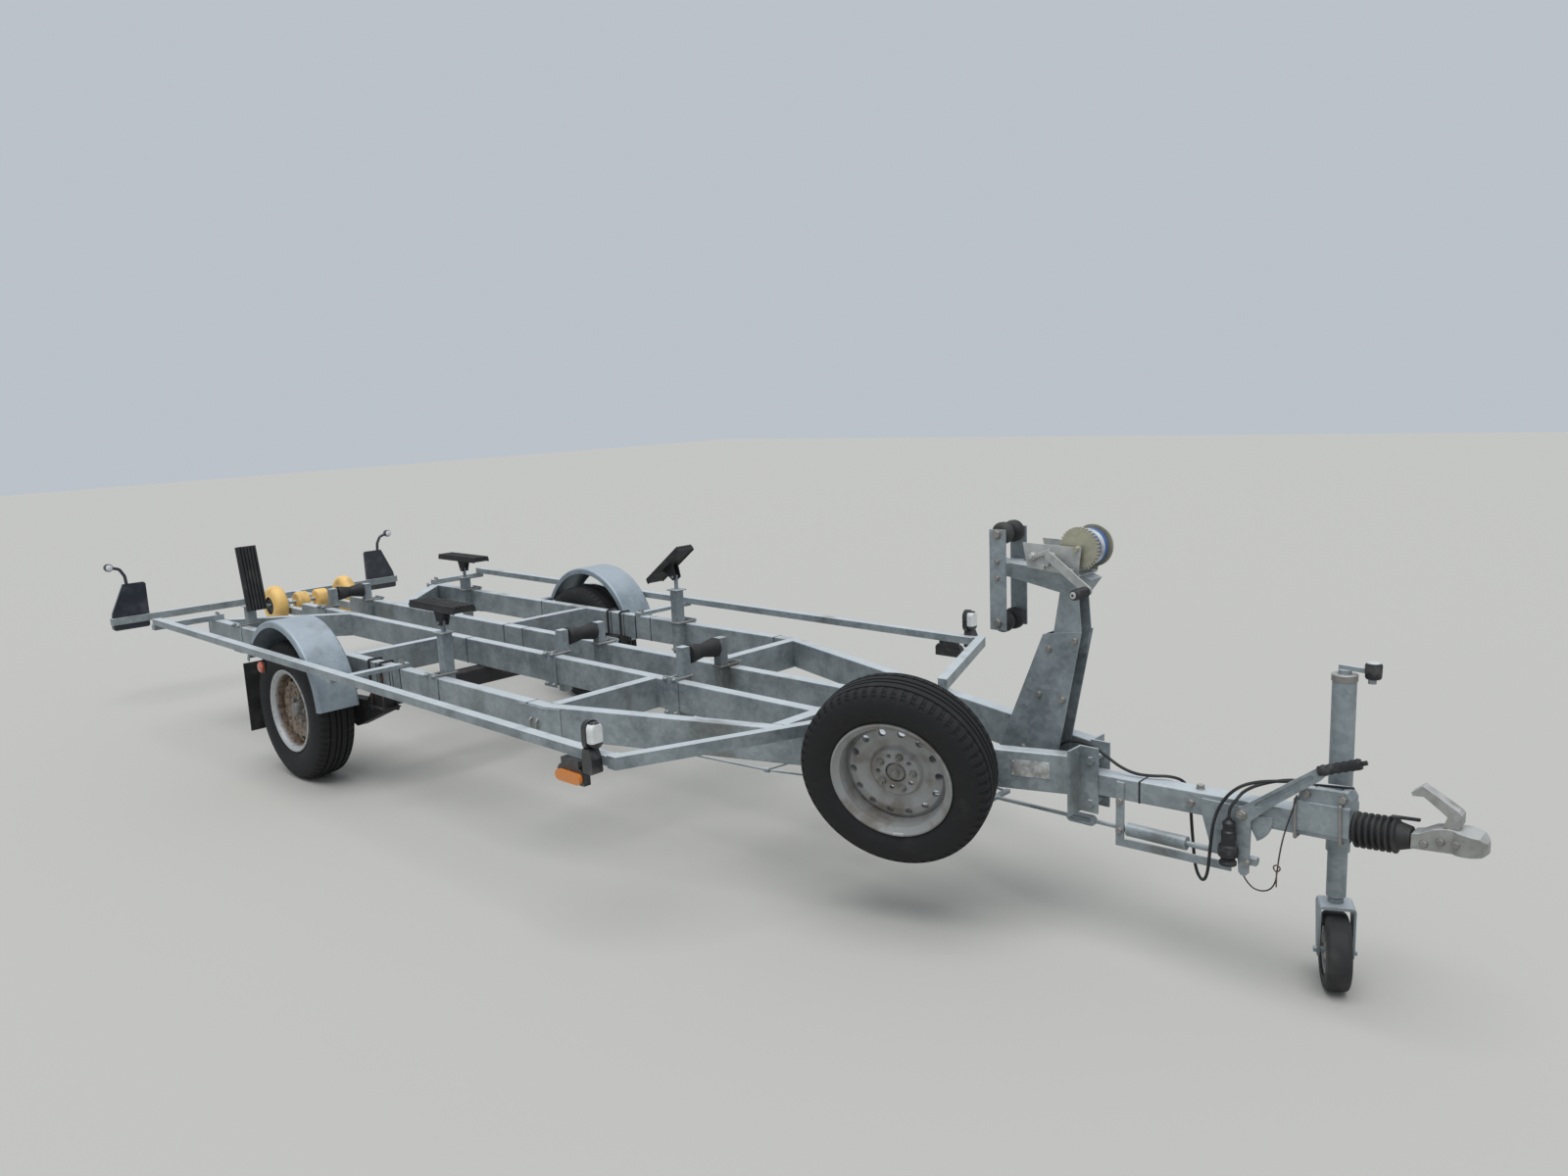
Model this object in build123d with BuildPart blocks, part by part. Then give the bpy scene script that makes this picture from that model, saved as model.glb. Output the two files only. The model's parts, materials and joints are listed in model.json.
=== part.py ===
from build123d import *
from math import atan2, cos, degrees, radians, sin, tan
import os

# A braked single-axle boat trailer, standing on its two road wheels and its jockey wheel.
# Millimetres, +X towards the coupling, +Y to the trailer's left, +Z up, ground at Z = 0.
# The origin is on the ground, half way along the trailer and in the middle of its width.

# Lengths along the trailer are taken from the noses of the outer rails, forward positive
NOSE_X = 2360
SIDE = Plane(origin=(NOSE_X, 0, 0), x_dir=(1, 0, 0), z_dir=(0, -1, 0))
TOP = Plane(origin=(NOSE_X, 0, 0))
SIDES = (("right", -1), ("left", 1))

# Chassis of rectangular galvanised tube
RAIL_TOP = 570
RAIL_H = 120
RAIL_W = 50
RAIL_BOTTOM = RAIL_TOP - RAIL_H
REAR = -4950
BEND = -1800
FRAME_HALF = 693
FRAME_INNER = FRAME_HALF - RAIL_W
NOSE_HALF = 108
SPLAY = atan2(FRAME_HALF - NOSE_HALF, -BEND)
INNER_BEND = BEND - RAIL_W * tan(SPLAY / 2)
NOSE_INNER = NOSE_HALF - RAIL_W / cos(SPLAY)
KEEL_HALF = 172
KEEL_INNER = KEEL_HALF - RAIL_W
NOSE_CROSS = -932
MIDDLE_CROSS = -3320
BRACE_REAR = -4850
TUBE_R = 5
PLATE = 4

# Drawbar, rising a little towards the coupling
DRAW_W = 65
DRAW_H = 65
DRAW_RISE = 0.0285
DRAW_FRONT = 760
HANGER_T = 8
DRAW_REAR = NOSE_CROSS + RAIL_W / 2 + HANGER_T

# Road wheels
AXLE = -3519
AXLE_Z = 325
TYRE_R = 325
TYRE_W = 184
WHEEL_Y = 823
BEAD_R = 178
STUD_R = 56
STUD_HOLE_R = 7.5
RUNNING = 0.05

os.makedirs("parts", exist_ok=True)


def save(part, name):
    """Label a finished piece and write its file."""
    part.label = name
    export_step(part, f"parts/{name}.step")


def draw_top(x):
    """Height of the drawbar's upper face."""
    return 502 + DRAW_RISE * x


def inner_edge(x):
    """Half width between the outer rails' inner faces along the nose."""
    return FRAME_INNER - (x - INNER_BEND) * tan(SPLAY)


def crosswise(x, z, y=0):
    """Plane across an axle that lies along Y."""
    return Plane(origin=(NOSE_X + x, y, z), x_dir=(1, 0, 0), z_dir=(0, -1, 0))


def cord(route, radius, name):
    """A round cord along its route; each bend is as wide as its two runs allow."""
    points = [Vector(NOSE_X + x, y, z) for x, y, z in route]
    bends = []
    for before, corner, after in zip(points, points[1:], points[2:]):
        reach = 0.45 * min((corner - before).length, (after - corner).length)
        bends.append(reach / tan(radians((corner - before).get_angle(after - corner) / 2)))
    with BuildPart() as tube:
        with BuildLine():
            path = FilletPolyline(*points, radius=bends)
        with BuildSketch(Plane(origin=path @ 0, z_dir=path % 0)):
            Circle(radius)
        sweep(path=path)
    print(name, round(path.length), "mm long, bend radii", [round(bend) for bend in bends])
    save(tube.part, name)


# Outer rails: straight along the sides, then bent inwards to meet at the drawbar, a plate over each bend
with BuildPart() as outer_rails:
    with BuildSketch(TOP.offset(RAIL_BOTTOM)):
        with BuildLine():
            Polyline(
                (REAR, FRAME_HALF),
                (BEND, FRAME_HALF),
                (0, NOSE_HALF),
                (0, NOSE_INNER),
                (INNER_BEND, FRAME_INNER),
                (REAR, FRAME_INNER),
                close=True,
            )
        make_face()
    extrude(amount=RAIL_H)
    level = outer_rails.edges().group_by(Axis.Z)
    fillet([e for e in level[0] + level[-1] if e.length > 2 * RAIL_W], TUBE_R)
    with BuildSketch(TOP.offset(RAIL_BOTTOM + 6)):
        with BuildLine():
            Polyline(
                (BEND - 154, FRAME_HALF),
                (BEND - 154, FRAME_HALF + PLATE),
                (BEND + 1, FRAME_HALF + PLATE),
                (BEND + 71, FRAME_HALF + PLATE - 70 * tan(SPLAY)),
                (BEND + 69, FRAME_HALF - 69 * tan(SPLAY)),
                (BEND, FRAME_HALF),
                close=True,
            )
        make_face()
    extrude(amount=RAIL_H - 12)
    mirror(about=Plane.XZ)
save(outer_rails.part, "outer_rails")

# Keel rails: beside the centre line, carrying the keel rollers
KEEL_FRONT = NOSE_CROSS - RAIL_W / 2
with BuildPart() as keel_rails:
    with BuildSketch(TOP.offset(RAIL_BOTTOM)):
        with Locations(((REAR + KEEL_FRONT) / 2, KEEL_HALF - RAIL_W / 2)):
            Rectangle(KEEL_FRONT - REAR, RAIL_W)
    extrude(amount=RAIL_H)
    fillet(keel_rails.edges().filter_by(Axis.X), TUBE_R)
    mirror(about=Plane.XZ)
save(keel_rails.part, "keel_rails")

# Cross members from outer to keel rail: at the bend, ahead of the wheels and, at 45 degrees, at the rear
BRACE_SPAN = FRAME_INNER - KEEL_HALF
BRACE_HALF = RAIL_W * 2**0.5 / 2
with BuildPart() as cross_members:
    with BuildSketch(TOP.offset(RAIL_BOTTOM)):
        with BuildLine():
            Polyline(
                (BEND - RAIL_W / 2, KEEL_HALF),
                (BEND + RAIL_W / 2, KEEL_HALF),
                (BEND + RAIL_W / 2, inner_edge(BEND + RAIL_W / 2)),
                (INNER_BEND, FRAME_INNER),
                (BEND - RAIL_W / 2, FRAME_INNER),
                close=True,
            )
        make_face()
        with Locations((MIDDLE_CROSS, (FRAME_INNER + KEEL_HALF) / 2)):
            Rectangle(RAIL_W, FRAME_INNER - KEEL_HALF)
        with BuildLine():
            Polyline(
                (BRACE_REAR - BRACE_HALF, FRAME_INNER),
                (BRACE_REAR + BRACE_HALF, FRAME_INNER),
                (BRACE_REAR + BRACE_SPAN + BRACE_HALF, KEEL_HALF),
                (BRACE_REAR + BRACE_SPAN - BRACE_HALF, KEEL_HALF),
                close=True,
            )
        make_face()
        mirror(about=Plane.XZ)
    extrude(amount=RAIL_H)
save(cross_members.part, "cross_members")

# Nose cross member: between the converging rails, with the plate that takes the drawbar
with BuildPart() as nose_cross_member:
    with BuildSketch(TOP.offset(RAIL_BOTTOM)):
        with BuildLine():
            Polyline(
                (NOSE_CROSS - RAIL_W / 2, -inner_edge(NOSE_CROSS - RAIL_W / 2)),
                (NOSE_CROSS + RAIL_W / 2, -inner_edge(NOSE_CROSS + RAIL_W / 2)),
                (NOSE_CROSS + RAIL_W / 2, inner_edge(NOSE_CROSS + RAIL_W / 2)),
                (NOSE_CROSS - RAIL_W / 2, inner_edge(NOSE_CROSS - RAIL_W / 2)),
                close=True,
            )
        make_face()
    extrude(amount=RAIL_H)
    with BuildSketch(Plane.YZ.offset(NOSE_X + NOSE_CROSS + RAIL_W / 2)):
        with Locations((0, 475)):
            Rectangle(110, 150)
    extrude(amount=HANGER_T)
save(nose_cross_member.part, "nose_cross_member")

# Drawbar: one square tube from the nose cross member to the coupling, with a gland for the electric cable
GLAND_X = -95
GLAND_H = 16
with BuildPart() as drawbar:
    with BuildSketch(SIDE.offset(-DRAW_W / 2)):
        with BuildLine():
            Polyline(
                (DRAW_REAR, draw_top(DRAW_REAR) - DRAW_H),
                (DRAW_FRONT, draw_top(DRAW_FRONT) - DRAW_H),
                (DRAW_FRONT, draw_top(DRAW_FRONT)),
                (DRAW_REAR, draw_top(DRAW_REAR)),
                close=True,
            )
        make_face()
    extrude(amount=DRAW_W)
    long_edges = drawbar.edges().filter_by(lambda e: e.length > 1000)
    fillet(long_edges, TUBE_R)
    with BuildSketch(TOP.offset(draw_top(GLAND_X) - 2)):
        with Locations((GLAND_X, -5)):
            Circle(9)
    extrude(amount=GLAND_H + 2)
save(drawbar.part, "drawbar")

# Clamp angles: bolt the noses of the outer rails to the drawbar's sides
CLAMP_T = 7
CLAMP_L = 62
CLAMP_LOW = 382
CLAMP_HIGH = 585
CLAMP_BOLTS = ((0.65 * CLAMP_L, 545), (0.65 * CLAMP_L, 412))
with BuildPart() as clamp_angles:
    with BuildSketch(TOP.offset(CLAMP_LOW)):
        with BuildLine():
            Polyline(
                (0, NOSE_HALF),
                (CLAMP_T, NOSE_HALF),
                (CLAMP_T, DRAW_W / 2 + CLAMP_T),
                (CLAMP_L, DRAW_W / 2 + CLAMP_T),
                (CLAMP_L, DRAW_W / 2),
                (0, DRAW_W / 2),
                close=True,
            )
        make_face()
        mirror(about=Plane.XZ)
    extrude(amount=CLAMP_HIGH - CLAMP_LOW)
    with BuildSketch(SIDE.offset(-DRAW_W / 2 - 1)):
        with Locations(*CLAMP_BOLTS):
            Circle(8)
    extrude(amount=DRAW_W + 2)
    with BuildSketch(SIDE.offset(DRAW_W / 2 + CLAMP_T)):
        with Locations(*CLAMP_BOLTS):
            RegularPolygon(13, 6)
    extrude(amount=10)
    with BuildSketch(SIDE.offset(-DRAW_W / 2 - CLAMP_T)):
        with Locations(*CLAMP_BOLTS):
            RegularPolygon(13, 6)
    extrude(amount=-10)
save(clamp_angles.part, "clamp_angles")

# Winch post: a tapered channel astride the drawbar, open to the front
POST_T = 5
with BuildPart() as winch_post:
    with BuildSketch(SIDE.offset(DRAW_W / 2)):
        with BuildLine():
            Polyline((-310, 455), (-89, 455), (6, 931), (-121, 911), close=True)
        make_face()
    extrude(amount=POST_T)
    with BuildSketch(SIDE.offset(-DRAW_W / 2 - POST_T)):
        with BuildLine():
            Polyline((-310, 455), (-89, 455), (6, 931), (-121, 911), close=True)
        make_face()
    extrude(amount=POST_T)
    with BuildSketch(SIDE.offset(-DRAW_W / 2)):
        with BuildLine():
            Polyline((-285, 515), (-280, 515), (-116, 911), (-121, 911), close=True)
        make_face()
    extrude(amount=DRAW_W)
save(winch_post.part, "winch_post")

# Mast and arm: the narrower channel inside the post, with the winch's sloping arm on it
MAST_HALF = DRAW_W / 2
with BuildPart() as winch_arm:
    with BuildSketch(SIDE.offset(-MAST_HALF)):
        with BuildLine():
            Polyline((-100, 850), (-12, 850), (2, 935), (-7, 1046), (-66, 1046), (-88, 916), close=True)
        make_face()
    extrude(amount=2 * MAST_HALF)
    with BuildSketch(SIDE.offset(-MAST_HALF + POST_T)):
        with BuildLine():
            Polyline((-95, 850), (10, 850), (10, 1046), (-60, 1046), (-83, 916), close=True)
        make_face()
    extrude(amount=2 * MAST_HALF - 2 * POST_T, mode=Mode.SUBTRACT)
    with BuildSketch(SIDE.offset(-MAST_HALF)):
        with BuildLine():
            Polyline((-290, 1078), (-243, 1077), (-69, 1043), (0, 1040), (36, 1088), (10, 1098), (-256, 1121), (-290, 1124), close=True)
        make_face()
    extrude(amount=2 * MAST_HALF)
save(winch_arm.part, "winch_arm")

# Bow stop: two upright bars on a cross strap behind the arm, with pins for four ball-shaped rollers
BOW_Y = 60
BOW_T = 6
BOW_X = -262
BOW_LOW = 935
BOW_HIGH = 1230
with BuildPart() as bow_stop_frame:
    for y in (BOW_Y - BOW_T / 2, -BOW_Y - BOW_T / 2):
        with BuildSketch(SIDE.offset(-y - BOW_T)):
            with Locations((BOW_X, (BOW_LOW - 23 + BOW_HIGH - 6) / 2)):
                Rectangle(56, BOW_HIGH - 6 - BOW_LOW + 23)
        extrude(amount=BOW_T)
    with BuildSketch(SIDE.offset(-BOW_Y)):
        with Locations((BOW_X, BOW_LOW), (BOW_X, BOW_HIGH - 20)):
            Circle(8)
    extrude(amount=2 * BOW_Y)
    with BuildSketch(SIDE.offset(MAST_HALF)):
        with Locations((BOW_X, 1100)):
            Rectangle(50, 40)
    extrude(amount=BOW_Y - MAST_HALF)
    with BuildSketch(SIDE.offset(-BOW_Y)):
        with Locations((BOW_X, 1100)):
            Rectangle(50, 40)
    extrude(amount=BOW_Y - MAST_HALF)
save(bow_stop_frame.part, "bow_stop_frame")

for name, z in (("bottom", BOW_LOW), ("top", BOW_HIGH - 20)):
    with BuildPart() as bow_rollers:
        for y in (-30, 30):
            with BuildSketch(crosswise(BOW_X, z, y + 20)):
                Circle(34)
            extrude(amount=40)
        fillet(bow_rollers.edges().filter_by(GeomType.CIRCLE), 15)
        with BuildSketch(crosswise(BOW_X, z, 60)):
            Circle(8 + RUNNING)
        extrude(amount=120, mode=Mode.SUBTRACT)
    save(bow_rollers.part, f"bow_rollers_{name}")

# Winch: two side plates on a base, between them the drum with its gear, and a hand crank
DRUM = (2, 1179)
CRANK = (-74, 1157)
PLATE_Y = 56
PLATE_T = 4
GEAR_R = 63
ARM_FALL = 23 / 266
with BuildPart() as winch_frame:
    for y in (-PLATE_Y, PLATE_Y + PLATE_T):
        with BuildSketch(SIDE.offset(-y)):
            with BuildLine():
                Polyline((-160, 1116), (8, 1103), (18, 1184), (-175, 1190), close=True)
            make_face()
            with Locations(DRUM, CRANK):
                Circle(8 + RUNNING, mode=Mode.SUBTRACT)
        extrude(amount=PLATE_T)
    with BuildSketch(SIDE.offset(-PLATE_Y)):
        with BuildLine():
            Polyline((-160, 1113), (8, 1098.2), (8, 1102.2), (-160, 1117), close=True)
        make_face()
    extrude(amount=2 * PLATE_Y)
save(winch_frame.part, "winch_frame")

# Winch drum: toothed gear, barrel and outer flange on one shaft, with the strap wound on
GEAR_TEETH = 36
with BuildPart() as winch_drum:
    with BuildSketch(crosswise(*DRUM, PLATE_Y + PLATE_T + 8)):
        Circle(8)
    extrude(amount=2 * PLATE_Y + 2 * PLATE_T + 16)
    with BuildSketch(crosswise(*DRUM, -34)):
        Circle(GEAR_R - 5)
        with PolarLocations(GEAR_R - 4, GEAR_TEETH):
            Rectangle(8, 5)
    extrude(amount=12)
    with BuildSketch(crosswise(*DRUM, 46)):
        Circle(GEAR_R)
    extrude(amount=6)
    with BuildSketch(crosswise(*DRUM, 40)):
        Circle(24)
    extrude(amount=74)
save(winch_drum.part, "winch_drum")

with BuildPart() as winch_strap:
    with BuildSketch(crosswise(*DRUM, 30)):
        Circle(54)
        Circle(24, mode=Mode.SUBTRACT)
    extrude(amount=60)
save(winch_strap.part, "winch_strap")

CRANK_END = (50, 1064)
with BuildPart() as winch_crank:
    with BuildSketch(crosswise(*CRANK, PLATE_Y + PLATE_T + 6)):
        Circle(8)
    extrude(amount=2 * PLATE_Y + 2 * PLATE_T + 6 + 24)
    with BuildSketch(SIDE.offset(78)):
        with Locations(((CRANK[0] + CRANK_END[0]) / 2, (CRANK[1] + CRANK_END[1]) / 2)):
            SlotCenterToCenter(155, 26, rotation=degrees(atan2(CRANK_END[1] - CRANK[1], CRANK_END[0] - CRANK[0])))
    extrude(amount=6)
    with BuildSketch(SIDE.offset(84)):
        with Locations(CRANK_END):
            Circle(12)
    extrude(amount=80)
    with BuildSketch(SIDE.offset(34)):
        with Locations(CRANK):
            Circle(13)
    extrude(amount=12)
save(winch_crank.part, "winch_crank")

# Coupling: housing saddled over the drawbar's end, rubber bellows, cast head with its lever
SLEEVE_REAR = 622
HOUSING_HALF = 39
COUPLING_Z = 491
COUPLING_PITCH = 4
RIBS = 7
RIB_PITCH = 15
RIB_R = 46
RIB_DEPTH = 10
with BuildPart() as coupling_housing:
    with BuildSketch(SIDE.offset(-HOUSING_HALF)):
        with BuildLine():
            Polyline((SLEEVE_REAR, 470), (DRAW_FRONT, 474), (DRAW_FRONT, 553), (SLEEVE_REAR, 549), close=True)
        make_face()
    extrude(amount=2 * HOUSING_HALF)
    with BuildSketch(SIDE.offset(-30)):
        with BuildLine():
            Polyline((632, 545), (DRAW_FRONT, 550), (DRAW_FRONT, 572), (748, 592), (650, 586), (632, 572), close=True)
        make_face()
    extrude(amount=60)
    fillet(coupling_housing.edges().filter_by(Axis.Y).group_by(Axis.Z)[-1], 8)
    with BuildSketch(SIDE.offset(-DRAW_W / 2)):
        with BuildLine():
            Polyline(
                (SLEEVE_REAR - 1, 460), (DRAW_FRONT + 1, 460), (DRAW_FRONT + 1, draw_top(DRAW_FRONT + 1)),
                (SLEEVE_REAR - 1, draw_top(SLEEVE_REAR - 1)),
                close=True,
            )
        make_face()
    extrude(amount=DRAW_W, mode=Mode.SUBTRACT)
    with BuildSketch(TOP.offset(592)):
        with Locations((700, 0)):
            Rectangle(70, 24)
    extrude(amount=-10, mode=Mode.SUBTRACT)
save(coupling_housing.part, "coupling_housing")

HITCH = Location((NOSE_X + DRAW_FRONT + 3.5, 0, COUPLING_Z), (0, -COUPLING_PITCH, 0))
with BuildPart() as bellows:
    with BuildSketch(Plane.XZ):
        with BuildLine():
            Polyline((0, 0), (0, RIB_R - RIB_DEPTH), (RIBS * RIB_PITCH, RIB_R - RIB_DEPTH), (134, 28), (134, 0), close=True)
        make_face()
        for rib in range(RIBS):
            with BuildLine():
                Polyline(
                    (rib * RIB_PITCH, RIB_R - RIB_DEPTH - 4),
                    (rib * RIB_PITCH + 5, RIB_R),
                    (rib * RIB_PITCH + 10, RIB_R),
                    (rib * RIB_PITCH + RIB_PITCH, RIB_R - RIB_DEPTH - 4),
                    close=True,
                )
            make_face()
    revolve(axis=Axis.X)
save(HITCH * bellows.part, "bellows")

# Cast head: its side outline cut to the plan of a neck and a round nose over the ball
HEAD_REAR = 900
HEAD_FRONT = 1065
NOSE_R = 42
NECK_W = 56
BALL_X = HEAD_FRONT - NOSE_R
BALL_Z = 512
BALL_R = 25.4
with BuildPart() as coupling_head:
    with BuildSketch(SIDE.offset(-NOSE_R)):
        with BuildLine():
            Polyline(
                (HEAD_REAR, 482), (1054, 495), (HEAD_FRONT, 502), (1062, 528), (1048, 541), (1020, 546),
                (978, 548), (946, 540), (918, 523), (HEAD_REAR, 519),
                close=True,
            )
        make_face()
    extrude(amount=2 * NOSE_R)
    with BuildSketch(TOP.offset(BALL_Z - 40)):
        with Locations((BALL_X, 0)):
            Circle(NOSE_R)
        with Locations(((HEAD_REAR + BALL_X) / 2, 0)):
            Rectangle(BALL_X - HEAD_REAR, NECK_W)
    extrude(amount=80, mode=Mode.INTERSECT)
    with Locations((NOSE_X + BALL_X, 0, BALL_Z)):
        Sphere(BALL_R, mode=Mode.SUBTRACT)
    with BuildSketch(TOP.offset(BALL_Z - 40)):
        with Locations((BALL_X, 0)):
            Circle(BALL_R)
    extrude(amount=40, mode=Mode.SUBTRACT)
save(coupling_head.part, "coupling_head")

with BuildPart() as coupling_handle:
    with BuildSketch(SIDE.offset(-18)):
        with BuildLine():
            Polyline(
                (966, 549), (1000, 548), (1006, 560), (1006, 586), (998, 594), (918, 643),
                (893, 622), (897, 614), (921, 617), (960, 588), (975, 576),
                close=True,
            )
        make_face()
    extrude(amount=36)
    with BuildSketch(SIDE.offset(-14)):
        with BuildLine():
            Polyline((890, 600), (926, 612), (964, 584), (992, 586), (922, 630), (890, 616), close=True)
        make_face()
    extrude(amount=28, mode=Mode.SUBTRACT)
save(coupling_handle.part, "coupling_handle")

# Handbrake: lever pivoting beside the drawbar, its lower end pulling the brake rod
BRAKE_Y = -44
PIVOT = (495, 480)
with BuildPart() as handbrake_lever:
    with BuildSketch(SIDE.offset(DRAW_W / 2)):
        with Locations(PIVOT):
            Circle(16)
    extrude(amount=8)
    with BuildSketch(SIDE.offset(DRAW_W / 2 + 8)):
        with Locations(PIVOT):
            Circle(25)
        with BuildLine():
            Polyline(
                (474, 492), (679, 650), (690, 655), (783, 690), (789, 669), (702, 634), (690, 619),
                (577, 527), (516, 470), (513, 318), (506, 310), (494, 310), (487, 318),
                close=True,
            )
        make_face()
    extrude(amount=10)
    with BuildSketch(SIDE.offset(DRAW_W / 2 + 18)):
        with Locations((600, 571)):
            SlotCenterToCenter(170, 12, rotation=38)
    extrude(amount=-4, mode=Mode.SUBTRACT)
save(handbrake_lever.part, "handbrake_lever")

# Electric cable: out of a gland on the drawbar, over its left side, in a loop below it and back over its
# top to the plug, which is parked beside the handbrake
PLUG = (466, -71)
PLUG_R = 19
PLUG_TOP = 474
CABLE = (
    (GLAND_X, -5, draw_top(GLAND_X) + GLAND_H), (GLAND_X, -5, 550), (-59, -5, 580), (-8, -5, 585), (37, -5, 575),
    (76, -5, 553), (116, -4, 530), (163, -1, 517), (212, 6, 519), (256, 24, 523), (290, 51, 508), (303, 55, 464),
    (310, 48, 418), (321, 31, 375), (337, 6, 334), (346, -6, 296), (361, -20, 268), (383, -38, 259),
    (400, -54, 279), (409, -62, 314), (413, -65, 358), (416, -64, 404), (420, -61, 450), (433, -58, 494),
    (456, -52, 534), (489, -46, 564), (529, -38, 580), (567, -25, 586), (598, -10, 587), (613, 14, 584),
    (601, 40, 577), (570, 50, 568), (537, 38, 560), (512, 14, 553), (497, -14, 548), (487, -42, 540),
    (478, -62, 520), (*PLUG, 500), (*PLUG, PLUG_TOP),
)
cord(CABLE, 4.5, "electric_cable")

with BuildPart() as electric_plug:
    with BuildSketch(Plane.XZ):
        with BuildLine():
            Polyline(
                (0, 474), (7, 474), (9, 462), (15, 456), (15, 440), (PLUG_R, 436), (PLUG_R, 380), (PLUG_R - 3, 376),
                (PLUG_R - 3, 362), (PLUG_R, 358), (PLUG_R, 348), (PLUG_R - 4, 342), (0, 342),
                close=True,
            )
        make_face()
    revolve(axis=Axis.Z)
save(Location((NOSE_X + PLUG[0], PLUG[1], 0)) * electric_plug.part, "electric_plug")

# Breakaway cable: from under the handbrake's grip, slack, to the foot of its lower arm
BREAKAWAY = (
    (632, -46, 567), (626, -47, 532), (612, -47, 486), (601, -48, 440), (594, -49, 394), (590, -50, 350),
    (587, -50, 314), (573, -50, 288), (546, -50, 277), (517, -48, 284), (500, -46, 308),
)
cord(BREAKAWAY, 2, "breakaway_cable")

# Brake linkage: toothed bracket under the drawbar, spring cylinder, turnbuckle and the two wheel cables
ROD_Z = 350
CABLE_R = 4
STRUT_R = 3
EYE_R = 9
TUBE_X = -3060
SECTOR_R = 76
TEETH = 15
with BuildPart() as brake_bracket:
    with BuildSketch(SIDE.offset(DRAW_W / 2)):
        with BuildLine():
            Polyline(
                (120, 300), (462, 308), (462, 332), (145, 324), (145, draw_top(130) - 10),
                (120, draw_top(130) - 10),
                close=True,
            )
        make_face()
        with BuildLine():
            Polyline((376, 462), (404, 366), (446, 330), (480, 405), (530, 462), (530, 500), (376, 500), close=True)
        make_face()
        with BuildLine():
            rack = CenterArc(PIVOT, SECTOR_R, -62, 66)
            Line(rack @ 1, PIVOT)
            Line(PIVOT, rack @ 0)
        make_face()
        with Locations(PIVOT):
            Circle(16 + RUNNING, mode=Mode.SUBTRACT)
    extrude(amount=6)
    with BuildSketch(SIDE.offset(DRAW_W / 2)):
        with Locations(PIVOT):
            with PolarLocations(SECTOR_R, TEETH, start_angle=-58, angular_range=60, endpoint=True):
                Circle(2.2)
    extrude(amount=6, mode=Mode.SUBTRACT)
    with BuildSketch(SIDE.offset(DRAW_W / 2 + 6)):
        with Locations((PLUG[0], 410)):
            Rectangle(24, 40)
    extrude(amount=-PLUG[1] - PLUG_R - DRAW_W / 2 - 6.2)
save(brake_bracket.part, "brake_bracket")

with BuildPart() as brake_rod:
    with BuildSketch(Plane(origin=(NOSE_X - 300, -20, ROD_Z), z_dir=(1, 0, 0))):
        Circle(6)
    extrude(amount=450)
    with BuildSketch(Plane(origin=(NOSE_X + 150, -20, ROD_Z), z_dir=(1, 0, 0))):
        Circle(20)
    extrude(amount=179)
    with BuildSketch(Plane(origin=(NOSE_X + 329, -20, ROD_Z), z_dir=(1, 0, 0))):
        Circle(8)
    extrude(amount=200)
    with BuildSketch(SIDE.offset(20)):
        with Locations((515, ROD_Z)):
            Rectangle(30, 20)
    extrude(amount=DRAW_W / 2 + 8 - 20)
    with BuildSketch(SIDE.offset(20)):
        with Locations((132, ROD_Z)):
            Rectangle(16, 24)
    extrude(amount=DRAW_W / 2 - 20)
    with BuildSketch(SIDE.offset(12)):
        with Locations((0, ROD_Z)):
            SlotOverall(96, 30)
            SlotOverall(70, 17, mode=Mode.SUBTRACT)
    extrude(amount=16)
    with BuildSketch(TOP.offset(ROD_Z - 5)):
        with Locations((-306, 0)):
            SlotOverall(120, 20, rotation=90)
    extrude(amount=10)
    for y in (-1, 1):
        hanger = (NOSE_X - 1105, y * 250, 345)
        with BuildLine():
            cable = FilletPolyline(
                (NOSE_X - 300, y * 45, ROD_Z), hanger, (NOSE_X - 1493, y * 302, ROD_Z),
                (NOSE_X + TUBE_X + 43, y * 520, 395),
                radius=300,
            )
        with BuildSketch(Plane(origin=cable @ 0, z_dir=cable % 0)):
            Circle(CABLE_R)
        sweep(path=cable)
        bend = cable.edges().filter_by(GeomType.CIRCLE).sort_by(Axis.X)[-1]
        with BuildSketch(Plane(origin=bend @ 0.5, z_dir=bend % 0.5)):
            Circle(EYE_R)
        extrude(amount=EYE_R, both=True)
        with BuildLine():
            strut = Line((NOSE_X - 880, y * 370, RAIL_BOTTOM - STRUT_R), bend @ 0.5)
        with BuildSketch(Plane(origin=strut @ 0, z_dir=strut % 0)):
            Circle(STRUT_R)
        sweep(path=strut)
save(brake_rod.part, "brake_rod")

# Jockey wheel: clamped outer tube beside the drawbar, with its winding crank on top
JOCKEY = (695, 97)
JOCKEY_Y = JOCKEY[1]
with BuildPart() as jockey_tube:
    with BuildSketch(TOP.offset(385)):
        with Locations(JOCKEY):
            Circle(30)
    extrude(amount=870 - 385)
    with BuildSketch(TOP.offset(385)):
        with Locations(JOCKEY):
            Circle(25 + RUNNING)
    extrude(amount=420, mode=Mode.SUBTRACT)
save(jockey_tube.part, "jockey_tube")

with BuildPart() as jockey_clamp:
    with BuildSketch(TOP.offset(470)):
        with Locations(JOCKEY):
            Circle(40)
        with Locations((JOCKEY[0], (HOUSING_HALF + JOCKEY_Y) / 2)):
            Rectangle(60, JOCKEY_Y - HOUSING_HALF)
        with Locations(JOCKEY):
            Circle(30, mode=Mode.SUBTRACT)
    extrude(amount=50)
save(jockey_clamp.part, "jockey_clamp")

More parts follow.
